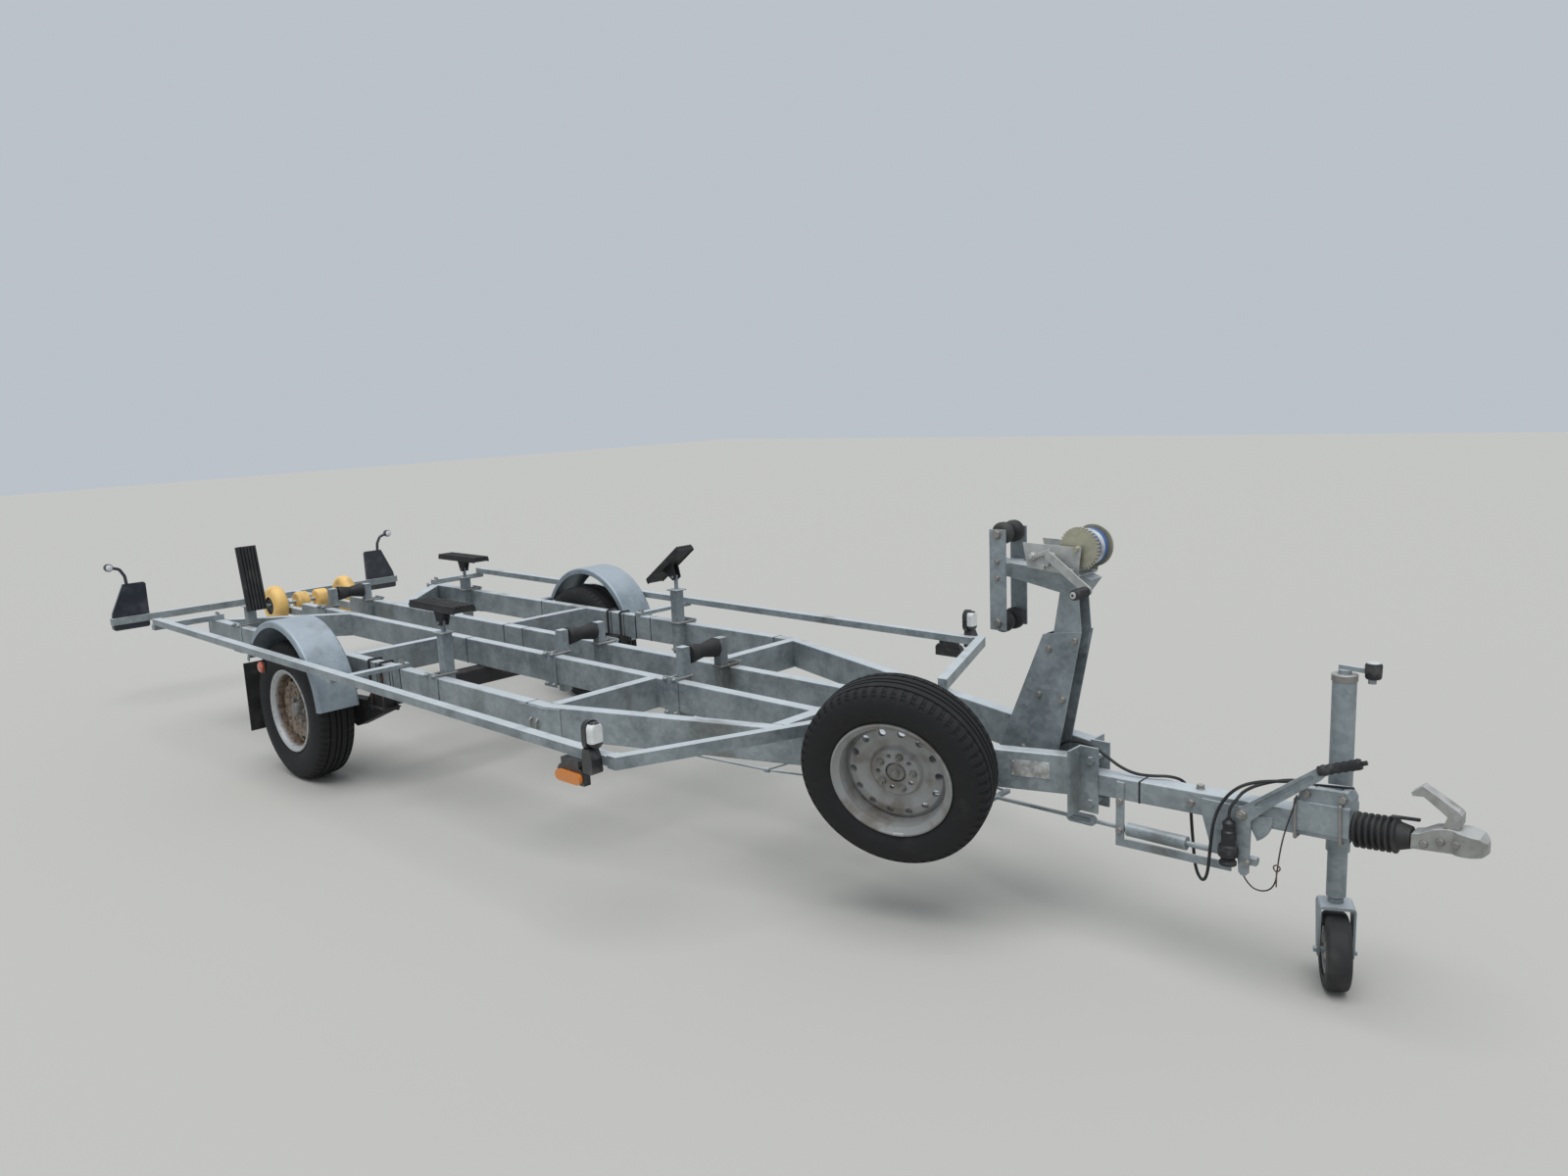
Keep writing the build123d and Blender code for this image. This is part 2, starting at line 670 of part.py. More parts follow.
with BuildPart() as jockey_crank:
    with BuildSketch(TOP.offset(870)):
        with Locations(JOCKEY):
            Circle(16)
    extrude(amount=14)
    with BuildSketch(SIDE.offset(-JOCKEY_Y - 5)):
        with BuildLine():
            Polyline((680, 884), (768, 880), (770, 892), (680, 896), close=True)
        make_face()
    extrude(amount=10)
    with BuildSketch(TOP.offset(855)):
        with Locations((762, JOCKEY_Y)):
            Circle(10)
    extrude(amount=25)
save(jockey_crank.part, "jockey_crank")

JOCKEY_R = 105
FORK_TRAIL = 23
FORK_T = 6
FORK_HALF = 46
JOCKEY_WHEEL = Plane(origin=(FORK_TRAIL, 0, JOCKEY_R), x_dir=(1, 0, 0), z_dir=(0, -1, 0))
with BuildPart() as jockey_leg:
    with BuildSketch(TOP.offset(255)):
        with Locations(JOCKEY):
            Circle(25)
    extrude(amount=415)
save(jockey_leg.part, "jockey_leg")

# The fork and its wheel stand turned about the leg
SWIVEL = Location((NOSE_X + JOCKEY[0], JOCKEY_Y, 0), (0, 0, -65))
with BuildPart() as jockey_fork:
    with BuildSketch(Plane.XZ.offset(-FORK_HALF)):
        with BuildLine():
            Polyline((-30, 238), (46, 238), (44, 120), (38, 92), (10, 92), (2, 120), close=True)
        make_face()
    extrude(amount=2 * FORK_HALF)
    with BuildSketch(Plane.YZ.offset(-40)):
        with Locations((0, 230 / 2)):
            Rectangle(2 * FORK_HALF - 2 * FORK_T, 230)
    extrude(amount=100, mode=Mode.SUBTRACT)
    fillet(jockey_fork.edges().filter_by(Axis.X).group_by(Axis.Z)[-1], 12)
    with BuildSketch(Plane.XY.offset(238)):
        Circle(20)
    extrude(amount=12)
    with BuildSketch(JOCKEY_WHEEL.offset(-FORK_HALF - 8)):
        Circle(8)
    extrude(amount=2 * FORK_HALF + 16)
save(SWIVEL * jockey_fork.part, "jockey_fork")

with BuildPart() as jockey_tyre:
    with BuildSketch(JOCKEY_WHEEL.offset(-31)):
        Circle(JOCKEY_R)
        Circle(70, mode=Mode.SUBTRACT)
    extrude(amount=62)
    fillet(jockey_tyre.edges().filter_by(GeomType.CIRCLE).group_by(SortBy.RADIUS)[-1], 12)
save(SWIVEL * jockey_tyre.part, "jockey_tyre")

with BuildPart() as jockey_rim:
    with BuildSketch(JOCKEY_WHEEL.offset(-25)):
        Circle(70)
        Circle(8 + RUNNING, mode=Mode.SUBTRACT)
    extrude(amount=50)
    for recess in (-25, 11):
        with BuildSketch(JOCKEY_WHEEL.offset(recess)):
            Circle(58)
            Circle(24, mode=Mode.SUBTRACT)
        extrude(amount=14, mode=Mode.SUBTRACT)
save(SWIVEL * jockey_rim.part, "jockey_rim")

# Axle: cross tube bolted under the rails, with a trailing arm and brake plate at each end
with BuildPart() as axle_tube:
    with BuildSketch(Plane.XZ.offset(-640)):
        with Locations((NOSE_X + TUBE_X, 410)):
            RectangleRounded(80, 80, 8)
    extrude(amount=1280)
save(axle_tube.part, "axle_tube")

with BuildPart() as suspension_arms:
    with BuildSketch(SIDE.offset(-690)):
        with BuildLine():
            Polyline(
                (-3010, 450), (-3110, 450), (-3180, 380), (AXLE, AXLE_Z + 34), (AXLE - 34, AXLE_Z),
                (AXLE, AXLE_Z - 34), (-3300, 240), (-3020, 350),
                close=True,
            )
        make_face()
    extrude(amount=50)
    with BuildSketch(SIDE.offset(-710)):
        with Locations((AXLE, AXLE_Z)):
            Circle(100)
    extrude(amount=20)
    with BuildSketch(SIDE.offset(-865)):
        with Locations((AXLE, AXLE_Z)):
            Circle(17)
    extrude(amount=155)
    mirror(about=Plane.XZ)
save(suspension_arms.part, "suspension_arms")

# Road wheels: tyre on a steel disc wheel with round vents
for name, side in SIDES:
    with BuildPart() as tyre:
        with BuildSketch(Plane.XZ):
            with BuildLine():
                Polyline(
                    (-70, BEAD_R), (70, BEAD_R), (72, 196), (88, 225), (92, 255), (88, 290), (70, 318),
                    (45, TYRE_R), (-45, TYRE_R), (-70, 318), (-88, 290), (-92, 255), (-88, 225), (-72, 196),
                    close=True,
                )
            make_face()
        revolve(axis=Axis.X)
    save(Location((NOSE_X + AXLE, side * WHEEL_Y, AXLE_Z), (0, 0, side * 90)) * tyre.part, f"tyre_{name}")

    with BuildPart() as rim:
        with BuildSketch(Plane.XZ):
            with BuildLine():
                Polyline(
                    (-80, 192), (-72, 192), (-70, BEAD_R), (70, BEAD_R), (72, 192), (80, 192), (82, 186),
                    (78, 179), (66, 170), (40, 165), (24, 164), (36, 150), (40, 124), (30, 96), (24, 72),
                    (24, 17 + RUNNING), (10, 17 + RUNNING), (10, 72), (18, 96), (28, 124), (24, 146), (8, 162),
                    (-74, 170), (-80, 184),
                    close=True,
                )
            make_face()
        revolve(axis=Axis.X)
        with BuildSketch(Plane.YZ):
            with PolarLocations(137, 14):
                SlotOverall(32, 20, rotation=90)
            with PolarLocations(STUD_R, 5):
                Circle(STUD_HOLE_R)
        extrude(amount=60, mode=Mode.SUBTRACT)
    save(Location((NOSE_X + AXLE, side * WHEEL_Y, AXLE_Z), (0, 0, side * 90)) * rim.part, f"rim_{name}")

# Mudguards: rolled sheet over each wheel with a turned-down lip on both sides, on two stay tubes
GUARD_X = -3472
GUARD_Z = 378
GUARD_R = 378
GUARD_LIP = 30
GUARD_CORNER = 12
GUARD_T = 3
GUARD_IN = 765
GUARD_OUT = 950
GUARD_START = 2
GUARD_TURN = 152
STAY_R = 11
GUARD = Plane(
    origin=(NOSE_X + GUARD_X, 0, GUARD_Z),
    x_dir=(0, 1, 0),
    z_dir=(sin(radians(GUARD_START)), 0, -cos(radians(GUARD_START))),
)
with BuildPart() as fenders:
    with BuildSketch(GUARD):
        with BuildLine():
            FilletPolyline(
                (GUARD_IN, GUARD_R - GUARD_LIP), (GUARD_IN, GUARD_R),
                (GUARD_OUT, GUARD_R), (GUARD_OUT, GUARD_R - GUARD_LIP),
                radius=GUARD_CORNER,
            )
            Line((GUARD_OUT, GUARD_R - GUARD_LIP), (GUARD_OUT - GUARD_T, GUARD_R - GUARD_LIP))
            FilletPolyline(
                (GUARD_OUT - GUARD_T, GUARD_R - GUARD_LIP), (GUARD_OUT - GUARD_T, GUARD_R - GUARD_T),
                (GUARD_IN + GUARD_T, GUARD_R - GUARD_T), (GUARD_IN + GUARD_T, GUARD_R - GUARD_LIP),
                radius=GUARD_CORNER - GUARD_T,
            )
            Line((GUARD_IN + GUARD_T, GUARD_R - GUARD_LIP), (GUARD_IN, GUARD_R - GUARD_LIP))
        make_face()
    revolve(axis=Axis(GUARD.origin, (0, -1, 0)), revolution_arc=GUARD_TURN)
    for angle in (GUARD_START + 12, GUARD_START + GUARD_TURN - 4):
        stay = GUARD_R - GUARD_T - STAY_R + 1
        with BuildSketch(SIDE.offset(-GUARD_OUT + GUARD_T)):
            with Locations((GUARD_X + stay * cos(radians(angle)), GUARD_Z + stay * sin(radians(angle)))):
                Circle(STAY_R)
        extrude(amount=GUARD_OUT - GUARD_T - FRAME_HALF)
    mirror(about=Plane.XZ)
save(fenders.part, "fenders")

# Mud flaps hanging behind the wheels
with BuildPart() as mud_flaps:
    with BuildSketch(SIDE.offset(-GUARD_OUT + 5)):
        with Locations((-3870, 345)):
            Rectangle(5, 330)
    extrude(amount=180)
    mirror(about=Plane.XZ)
save(mud_flaps.part, "mud_flaps")

# Side rails: outrigger tubes above the wheels
with BuildPart() as side_rails:
    with BuildSketch(SIDE.offset(-998)):
        with BuildLine():
            Polyline((-4880, 600), (-1042, 576), (-1042, 606), (-4880, 630), close=True)
        make_face()
    extrude(amount=40)
    mirror(about=Plane.XZ)
save(side_rails.part, "side_rails")

# Arms that carry the side rails on the outer rails' tops
with BuildPart() as side_arms:
    with BuildSketch(TOP.offset(RAIL_TOP)):
        with Locations((-2870, 820)):
            Rectangle(40, 356)
    extrude(amount=17)
    with BuildSketch(TOP.offset(RAIL_TOP)):
        with Locations((-4880, 820)):
            Rectangle(40, 356)
    extrude(amount=29)
    with BuildSketch(TOP.offset(RAIL_TOP)):
        with BuildLine():
            Polyline(
                (-1042, 998), (-1002, 998), (-720, 310), (-760, 310), (-1026, 958), (-1042, 958), close=True,
            )
        make_face()
    extrude(amount=40)
    mirror(about=Plane.XZ)
save(side_arms.part, "side_arms")

# Marker lamps on rubber boots at the side rails' front ends, with side lamps hung behind them
LAMP_X = -1085
with BuildPart() as marker_lamps:
    with BuildSketch(SIDE.offset(-1038)):
        with BuildLine():
            Polyline(
                (LAMP_X - 27, 552), (LAMP_X + 24, 552), (LAMP_X + 20, 600), (LAMP_X + 6, 630),
                (LAMP_X - 22, 630), (LAMP_X - 27, 600),
                close=True,
            )
        make_face()
    extrude(amount=40)
    with BuildSketch(Plane.YZ.offset(NOSE_X + LAMP_X - 22)):
        with Locations((1010, 668)):
            SlotOverall(96, 56, rotation=90)
    extrude(amount=20)
    with BuildSketch(Plane.YZ.offset(NOSE_X + LAMP_X - 2)):
        with Locations((1010, 670)):
            SlotOverall(84, 48, rotation=90)
    extrude(amount=26)
    fillet(marker_lamps.faces().sort_by(Axis.X)[-3:].edges().group_by(Axis.X)[-1], 10)
    with BuildSketch(SIDE.offset(-1024)):
        with BuildLine():
            Polyline((-1262, 500), (-1130, 500), (-1130, 538), (-1142, 552), (-1250, 552), (-1262, 538), close=True)
        make_face()
        with Locations((-1196, 564)):
            Rectangle(90, 24)
    extrude(amount=26)
    with BuildSketch(SIDE.offset(-1038)):
        with Locations((-1196, 521)):
            SlotOverall(124, 34)
    extrude(amount=14)
    mirror(about=Plane.XZ)
save(marker_lamps.part, "marker_lamps")

# Spare wheel: leaning against the right-hand rail of the nose on a bolted carrier
SPARE_TURN = 18
SPARE_TILT = 12
SPARE_OUT = (
    sin(radians(SPARE_TURN)) * cos(radians(SPARE_TILT)),
    -cos(radians(SPARE_TURN)) * cos(radians(SPARE_TILT)),
    -sin(radians(SPARE_TILT)),
)
SPARE = Plane(origin=(NOSE_X - 408, -436, 500), z_dir=SPARE_OUT)
SPARE_R = 300
with BuildPart() as spare_tyre:
    with BuildSketch(Plane.XZ):
        with BuildLine():
            Polyline(
                (BEAD_R, -10), (196, -8), (220, 8), (255, 10), (285, 2), (SPARE_R, -22),
                (SPARE_R, -128), (285, -152), (255, -160), (220, -158), (196, -142), (BEAD_R, -140),
                close=True,
            )
        make_face()
    revolve(axis=Axis.Z)
save(SPARE.location * spare_tyre.part, "spare_tyre")

with BuildPart() as spare_rim:
    with BuildSketch(Plane.XZ):
        with BuildLine():
            Polyline(
                (192, 0), (192, -8), (BEAD_R, -10), (BEAD_R, -140), (192, -142), (192, -150), (184, -150),
                (170, -144), (164, -88), (148, -70), (126, -64), (98, -76), (84, -78), (72, -68), (33, -68),
                (33, -54), (76, -54), (86, -64), (100, -62), (126, -52), (148, -54), (163, -64),
                (164, -30), (168, -14), (180, -4), (186, 2),
                close=True,
            )
        make_face()
    revolve(axis=Axis.Z)
    with BuildSketch(Plane.XY.offset(-100)):
        with PolarLocations(137, 14):
            Circle(12)
        with PolarLocations(STUD_R, 5):
            Circle(STUD_HOLE_R)
    extrude(amount=80, mode=Mode.SUBTRACT)
save(SPARE.location * spare_rim.part, "spare_rim")

# Spare wheel carrier: plate on the rail with a tube out to a disc behind the wheel
LEG_AT = -466
LEG = Plane(
    origin=(NOSE_X + LEG_AT, -NOSE_HALF + LEG_AT * tan(SPLAY), 510),
    x_dir=(cos(SPLAY), sin(SPLAY), 0),
    z_dir=(sin(SPLAY), -cos(SPLAY), 0),
)
with BuildPart() as spare_carrier:
    with BuildSketch(SPARE.offset(-68)):
        Circle(42)
    extrude(amount=-8)
    with BuildSketch(SPARE.offset(-68)):
        Circle(30)
    extrude(amount=-200)
    split(bisect_by=LEG, keep=Keep.TOP)
    with BuildSketch(LEG):
        Rectangle(150, 100)
    extrude(amount=8)
save(spare_carrier.part, "spare_carrier")

# Rear light bar on two arms that slide out of the keel rails; it stands a little to the right
BOARD_SHIFT = -45
with BuildPart() as light_bar:
    with BuildSketch(TOP.offset(490)):
        with Locations((-5755, BOARD_SHIFT)):
            Rectangle(40, 1800)
        with Locations((-5345, 147), (-5345, -147)):
            Rectangle(780, 40)
    extrude(amount=40)
save(light_bar.part, "light_bar")

# Light boards: a lamp cluster under each end of the bar, a plate above it and a marker on a bent stalk
BOARD_Y = 800
with BuildPart() as light_boards:
    with BuildSketch(Plane.YZ.offset(NOSE_X - 5775)):
        with BuildLine():
            Polyline((690, 530), (892, 530), (886, 560), (812, 722), (700, 722), (690, 712), close=True)
        make_face()
    extrude(amount=18)
    with BuildSketch(Plane.YZ.offset(NOSE_X - 5785)):
        with Locations((795, 493)):
            RectangleRounded(196, 76, 14)
    extrude(amount=38)
    with BuildSketch(SIDE.offset(-905)):
        with Locations((-5755, 510)):
            Rectangle(40, 40)
    extrude(amount=250, mode=Mode.SUBTRACT)
    with BuildSketch(Plane.YZ.offset(NOSE_X - 5784)):
        with Locations((BOARD_Y + 74, 828)):
            Circle(23)
    extrude(amount=36)
    fillet(light_boards.edges().filter_by(lambda e: e.geom_type == GeomType.CIRCLE and e.radius > 20), 8)
    with BuildLine():
        stalk = FilletPolyline(
            (NOSE_X - 5766, BOARD_Y - 10, 715), (NOSE_X - 5766, BOARD_Y - 6, 768), (NOSE_X - 5766, BOARD_Y + 18, 812),
            (NOSE_X - 5766, BOARD_Y + 62, 826),
            radius=28,
        )
    with BuildSketch(Plane(origin=stalk @ 0, z_dir=stalk % 0)):
        Circle(9)
    sweep(path=stalk)
    mirror(about=Plane.XZ)
save(Location((0, BOARD_SHIFT, 0)) * light_boards.part, "light_boards")

# Stern rollers: small inner pair and tall, round-shouldered outer pair on one cross shaft
STERN = (-5200, 548)
STERN_R = 114
with BuildPart() as stern_frame:
    for y in (147, -147):
        with BuildSketch(SIDE.offset(-y - 5)):
            with BuildLine():
                Polyline((-5225, 530), (-5175, 530), (-5185, 565), (-5215, 565), close=True)
            make_face()
        extrude(amount=10)
    with BuildSketch(crosswise(*STERN, 265)):
        Circle(10)
    extrude(amount=530)
save(stern_frame.part, "stern_frame")

for name, side in SIDES:
    with BuildPart() as stern_rollers:
        with BuildSketch(crosswise(*STERN, side * 215)):
            Circle(STERN_R)
        extrude(amount=39, both=True)
        fillet(stern_rollers.edges().filter_by(GeomType.CIRCLE), 34)
        for face in (-1, 1):
            with BuildSketch(crosswise(*STERN, side * 215 + face * 36)):
                Circle(52)
            extrude(amount=5, both=True, mode=Mode.SUBTRACT)
        with BuildSketch(crosswise(*STERN, side * 60)):
            Circle(57)
        extrude(amount=37, both=True)
        fillet(stern_rollers.edges().filter_by(GeomType.CIRCLE).filter_by(lambda e: e.radius == 57), 14)
        with BuildSketch(crosswise(*STERN, side * 150)):
            Circle(10 + RUNNING)
        extrude(amount=140, both=True, mode=Mode.SUBTRACT)
    save(stern_rollers.part, f"stern_rollers_{name}")

# Keel rollers: waisted rubber rollers between posts clamped to the keel rails
KEEL_ROLLERS = (("front", -1688, 660, 695), ("middle", -2488, 640, 675), ("rear", -4680, 640, 672))
with BuildPart() as keel_roller_posts:
    for name, x, axis_z, top_z in KEEL_ROLLERS:
        with BuildSketch(TOP.offset(400)):
            with Locations((x, KEEL_INNER - 20), (x, -KEEL_INNER + 20)):
                Rectangle(40, 40)
        extrude(amount=top_z - 400)
        with BuildSketch(crosswise(x, axis_z, KEEL_INNER - 30)):
            Circle(8)
        extrude(amount=2 * KEEL_INNER - 60)
save(keel_roller_posts.part, "keel_roller_posts")

for name, x, axis_z, top_z in KEEL_ROLLERS:
    with BuildPart() as keel_roller:
        with BuildSketch(Plane.XY):
            with BuildLine():
                Polyline((0, -74), (38, -74), (40, -66), (28, 0), (40, 66), (38, 74), (0, 74), close=True)
            make_face()
        revolve(axis=Axis.Y)
        with BuildSketch(Plane.XZ.offset(-80)):
            Circle(8 + RUNNING)
        extrude(amount=160, mode=Mode.SUBTRACT)
    save(Location((NOSE_X + x, 0, axis_z)) * keel_roller.part, f"keel_roller_{name}")

# Bilge posts on the outer rails' inner faces, each with a stem and a pin for its pad
POST_W = 45
POST_Y = FRAME_INNER - POST_W / 2
BILGE = (
    # name, x, side, top of the post, height of the pivot, tilt, length of the pad
    ("front_right", -2580, -1, 745, 790, 0, 350),
    ("front_left", -2530, 1, 737, 805, -36, 300),
    ("rear_right", -4550, -1, 668, 812, 80, 340),
    ("rear_left", -4457, 1, 648, 702, 0, 400),
)
PAD_BACK = 55
PAD_HALF = 50
PAD_RIBS = 6
with BuildPart() as bilge_posts:
    for name, x, side, top_z, pivot_z, tilt, length in BILGE:
        with BuildSketch(TOP.offset(400)):
            with Locations((x, side * POST_Y)):
                Rectangle(POST_W, POST_W)
        extrude(amount=top_z - 400)
        with BuildSketch(TOP.offset(top_z)):
            with Locations((x, side * POST_Y)):
                Rectangle(16, 12)
        extrude(amount=pivot_z + 8 - top_z)
        with BuildSketch(crosswise(x, pivot_z, side * POST_Y + 24)):
            Circle(6)
        extrude(amount=48)
save(bilge_posts.part, "bilge_posts")

for name, x, side, top_z, pivot_z, tilt, length in BILGE:
    # Bilge pad: ribbed rubber in a shallow steel channel, with two ears on the pin
    with BuildPart() as bilge_pad:
        for y in (-18, 12):
            with BuildSketch(Plane.XZ.offset(-y - 6)):
                with BuildLine():
                    Polyline((-14, -12), (14, -12), (40, PAD_BACK), (-40, PAD_BACK), close=True)
                make_face()
                Circle(6 + RUNNING, mode=Mode.SUBTRACT)
            extrude(amount=6)
        with BuildSketch(Plane.YZ.offset(-length / 2)):
            with Locations((0, PAD_BACK + 10)):
                Rectangle(2 * PAD_HALF, 20)
            with GridLocations(2 * PAD_HALF / PAD_RIBS, 1, PAD_RIBS, 1):
                with Locations((0, PAD_BACK + 24)):
                    Rectangle(10, 12)
            with Locations((0, PAD_BACK)):
                Rectangle(2 * PAD_HALF - 8, 8, mode=Mode.SUBTRACT)
        extrude(amount=length)
        with BuildSketch(Plane.XY.offset(PAD_BACK)):
            Rectangle(84, 48)
        extrude(amount=6)
    save(Location((NOSE_X + x, side * POST_Y, pivot_z), (0, tilt, 0)) * bilge_pad.part, f"bilge_pad_{name}")
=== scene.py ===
import json
from math import cos, radians, sin, tau

import bmesh
import bpy
from mathutils import Matrix, Vector

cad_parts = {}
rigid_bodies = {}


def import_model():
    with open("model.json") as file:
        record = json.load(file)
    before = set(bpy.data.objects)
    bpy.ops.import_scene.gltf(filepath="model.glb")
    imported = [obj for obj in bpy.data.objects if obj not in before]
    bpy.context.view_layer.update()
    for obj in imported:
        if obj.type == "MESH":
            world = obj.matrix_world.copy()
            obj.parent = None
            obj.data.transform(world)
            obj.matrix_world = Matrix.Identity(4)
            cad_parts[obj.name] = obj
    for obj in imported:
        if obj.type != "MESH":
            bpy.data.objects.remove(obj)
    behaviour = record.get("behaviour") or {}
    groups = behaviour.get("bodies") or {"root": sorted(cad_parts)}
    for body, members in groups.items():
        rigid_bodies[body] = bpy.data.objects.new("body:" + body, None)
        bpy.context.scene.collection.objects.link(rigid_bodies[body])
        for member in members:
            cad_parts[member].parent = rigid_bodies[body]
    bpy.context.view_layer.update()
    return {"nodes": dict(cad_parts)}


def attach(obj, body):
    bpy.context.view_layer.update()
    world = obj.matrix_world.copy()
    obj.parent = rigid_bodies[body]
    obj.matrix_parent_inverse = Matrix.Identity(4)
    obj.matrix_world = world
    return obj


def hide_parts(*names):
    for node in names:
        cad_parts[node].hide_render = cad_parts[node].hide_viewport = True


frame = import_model()

# A braked single-axle boat trailer of galvanised tube, standing on two road wheels and its jockey wheel.
# Places are given as in the drawing: millimetres ahead of the outer rails' noses, to the left, and up.
NOSE_X = 2360


def at(x, y, z):
    return Vector((NOSE_X + x, y, z)) / 1000


# Camera: at head height beside the coupling, on the trailer's right, looking back along the frame. Its
# place and its three axes are those of the photograph.
EYE = at(1616, -3007, 1652)
ACROSS = Vector((0.7315, 0.6805, -0.0420))
UPWARDS = Vector((-0.0832, 0.1503, 0.9851))
BACK = Vector((0.6767, -0.7171, 0.1666))
scene_objects = bpy.context.scene.collection.objects
camera = bpy.data.objects.new("camera", bpy.data.cameras.new("camera"))
camera.data.lens = 26.08
camera.data.sensor_width = 36
camera.matrix_world = Matrix.Translation(EYE) @ Matrix((ACROSS, UPWARDS, BACK)).transposed().to_4x4()
scene_objects.link(camera)
bpy.context.scene.camera = camera

# Stage: a pale matt floor, just below the tyres, under an even bright sky and one broad, soft sun that
# stands nearly overhead
SKY_COLOUR = (0.80, 0.87, 0.95, 1)
SKY_STRENGTH = 0.62
SUN_STRENGTH = 2.4
SUN_WIDTH = radians(50)
SUN_LEAN = (radians(14), radians(10), 0)
FLOOR_COLOUR = (0.44, 0.43, 0.40, 1)
FLOOR_HALF = 30
FLOOR_Z = -0.0005
bpy.context.scene.view_settings.view_transform = "Standard"
world = bpy.data.worlds.new("sky")
world.use_nodes = True
world.node_tree.nodes["Background"].inputs["Color"].default_value = SKY_COLOUR
world.node_tree.nodes["Background"].inputs["Strength"].default_value = SKY_STRENGTH
bpy.context.scene.world = world
sun = bpy.data.objects.new("sun", bpy.data.lights.new("sun", "SUN"))
sun.data.energy = SUN_STRENGTH
sun.data.angle = SUN_WIDTH
sun.rotation_euler = SUN_LEAN
scene_objects.link(sun)
floor_finish = bpy.data.materials.new("floor")
floor_finish.use_nodes = True
floor_finish.node_tree.nodes["Principled BSDF"].inputs["Base Color"].default_value = FLOOR_COLOUR
floor_finish.node_tree.nodes["Principled BSDF"].inputs["Roughness"].default_value = 0.9
floor_mesh = bpy.data.meshes.new("floor")
bm = bmesh.new()
bmesh.ops.create_grid(bm, x_segments=1, y_segments=1, size=FLOOR_HALF)
bm.to_mesh(floor_mesh)
bm.free()
floor_mesh.materials.append(floor_finish)
floor = bpy.data.objects.new("floor", floor_mesh)
floor.location.z = FLOOR_Z
scene_objects.link(floor)


# Chassis: rails, cross members and drawbar of rectangular steel tube, welded and hot-dip galvanised to a
# dull, spangled blue-grey, dirty in streaks, with a painted highlight that makes upward faces paler. Black
# plastic caps, dished at the back, close the rear ends of the outer rails.
class Sock:
    """One value inside a finish; arithmetic and comparisons on it add Math nodes."""

    def __init__(self, finish, out):
        self.finish = finish
        self.out = out

    def calc(self, operation, *others):
        return self.finish.node("ShaderNodeMath", {"operation": operation}, dict(enumerate((self, *others))))

    def __add__(self, other):
        return self.calc("ADD", other)

    def __mul__(self, other):
        return self.calc("MULTIPLY", other)

    __radd__ = __add__
    __rmul__ = __mul__

    def __gt__(self, other):
        return self.calc("GREATER_THAN", other)

    def __lt__(self, other):
        return self.calc("LESS_THAN", other)

    def __abs__(self):
        return self.calc("ABSOLUTE")

    def step(self, low, high):
        """0 below low, 1 above high, and a smooth rise between them."""
        limits = {"Value": self, "From Min": low, "From Max": high}
        return self.finish.node("ShaderNodeMapRange", {"interpolation_type": "SMOOTHSTEP"}, limits)


class Finish:
    """A surface: its nodes, its object space and what drives its colour, gloss and relief."""

    def __init__(self, name):
        self.data = bpy.data.materials.new(name)
        self.data.use_nodes = True
        self.tree = self.data.node_tree
        self.surface = self.tree.nodes["Principled BSDF"]
        self.place = self.node("ShaderNodeTexCoord", {}, {}, "Object")

    def node(self, kind, settings, inputs, output=0):
        made = self.tree.nodes.new(kind)
        for key, value in settings.items():
            setattr(made, key, value)
        for key, value in inputs.items():
            self.feed(made.inputs[key], value)
        return Sock(self, made.outputs[output])

    def feed(self, socket, value):
        if isinstance(value, Sock):
            self.tree.links.new(value.out, socket)
        else:
            socket.default_value = value

    def noise(self, scale, detail=3.0, stretch=(1, 1, 1)):
        place = self.node("ShaderNodeMapping", {}, {"Vector": self.place, "Scale": stretch})
        return self.node("ShaderNodeTexNoise", {}, {"Vector": place, "Scale": scale, "Detail": detail})

    def cells(self, scale):
        colour = self.node("ShaderNodeTexVoronoi", {}, {"Vector": self.place, "Scale": scale}, "Color")
        return self.node("ShaderNodeSeparateXYZ", {}, {"Vector": colour})

    def waves(self, along, scale):
        inputs = {"Vector": self.place, "Scale": scale}
        return self.node("ShaderNodeTexWave", {"bands_direction": along}, inputs)

    def axis(self, letter):
        return self.node("ShaderNodeSeparateXYZ", {}, {"Vector": self.place}, letter)

    def away(self, centre, along):
        """Distance from the line through a point; along is 0 on the line's own axis and 1 on the others."""
        arm = self.node("ShaderNodeVectorMath", {"operation": "SUBTRACT"}, {0: self.place, 1: centre})
        flat = self.node("ShaderNodeVectorMath", {"operation": "MULTIPLY"}, {0: arm, 1: along})
        return self.node("ShaderNodeVectorMath", {"operation": "LENGTH"}, {0: flat}, "Value")

    def upward(self):
        normal = self.node("ShaderNodeNewGeometry", {}, {}, "Normal")
        return self.node("ShaderNodeSeparateXYZ", {}, {"Vector": normal}, "Z")

    def mix(self, factor, low, high):
        """The low colour where the factor is 0 and the high one where it is 1."""
        colours = [side if isinstance(side, Sock) else (*side, 1) for side in (low, high)]
        return self.node("ShaderNodeMix", {"data_type": "RGBA"}, {0: factor, 6: colours[0], 7: colours[1]}, 2)

    def cover(self, colour, gloss, metal=0.0, relief=None, depth=0.001, coat=0.0):
        """Dress the surface; gloss is its roughness and depth the relief's height in metres."""
        inputs = {"Base Color": colour, "Roughness": gloss, "Metallic": metal, "Coat Weight": coat}
        for key, value in inputs.items():
            self.feed(self.surface.inputs[key], value)
        if relief:
            bump = self.node("ShaderNodeBump", {}, {"Strength": 0.6, "Distance": depth, "Height": relief})
            self.feed(self.surface.inputs["Normal"], bump)


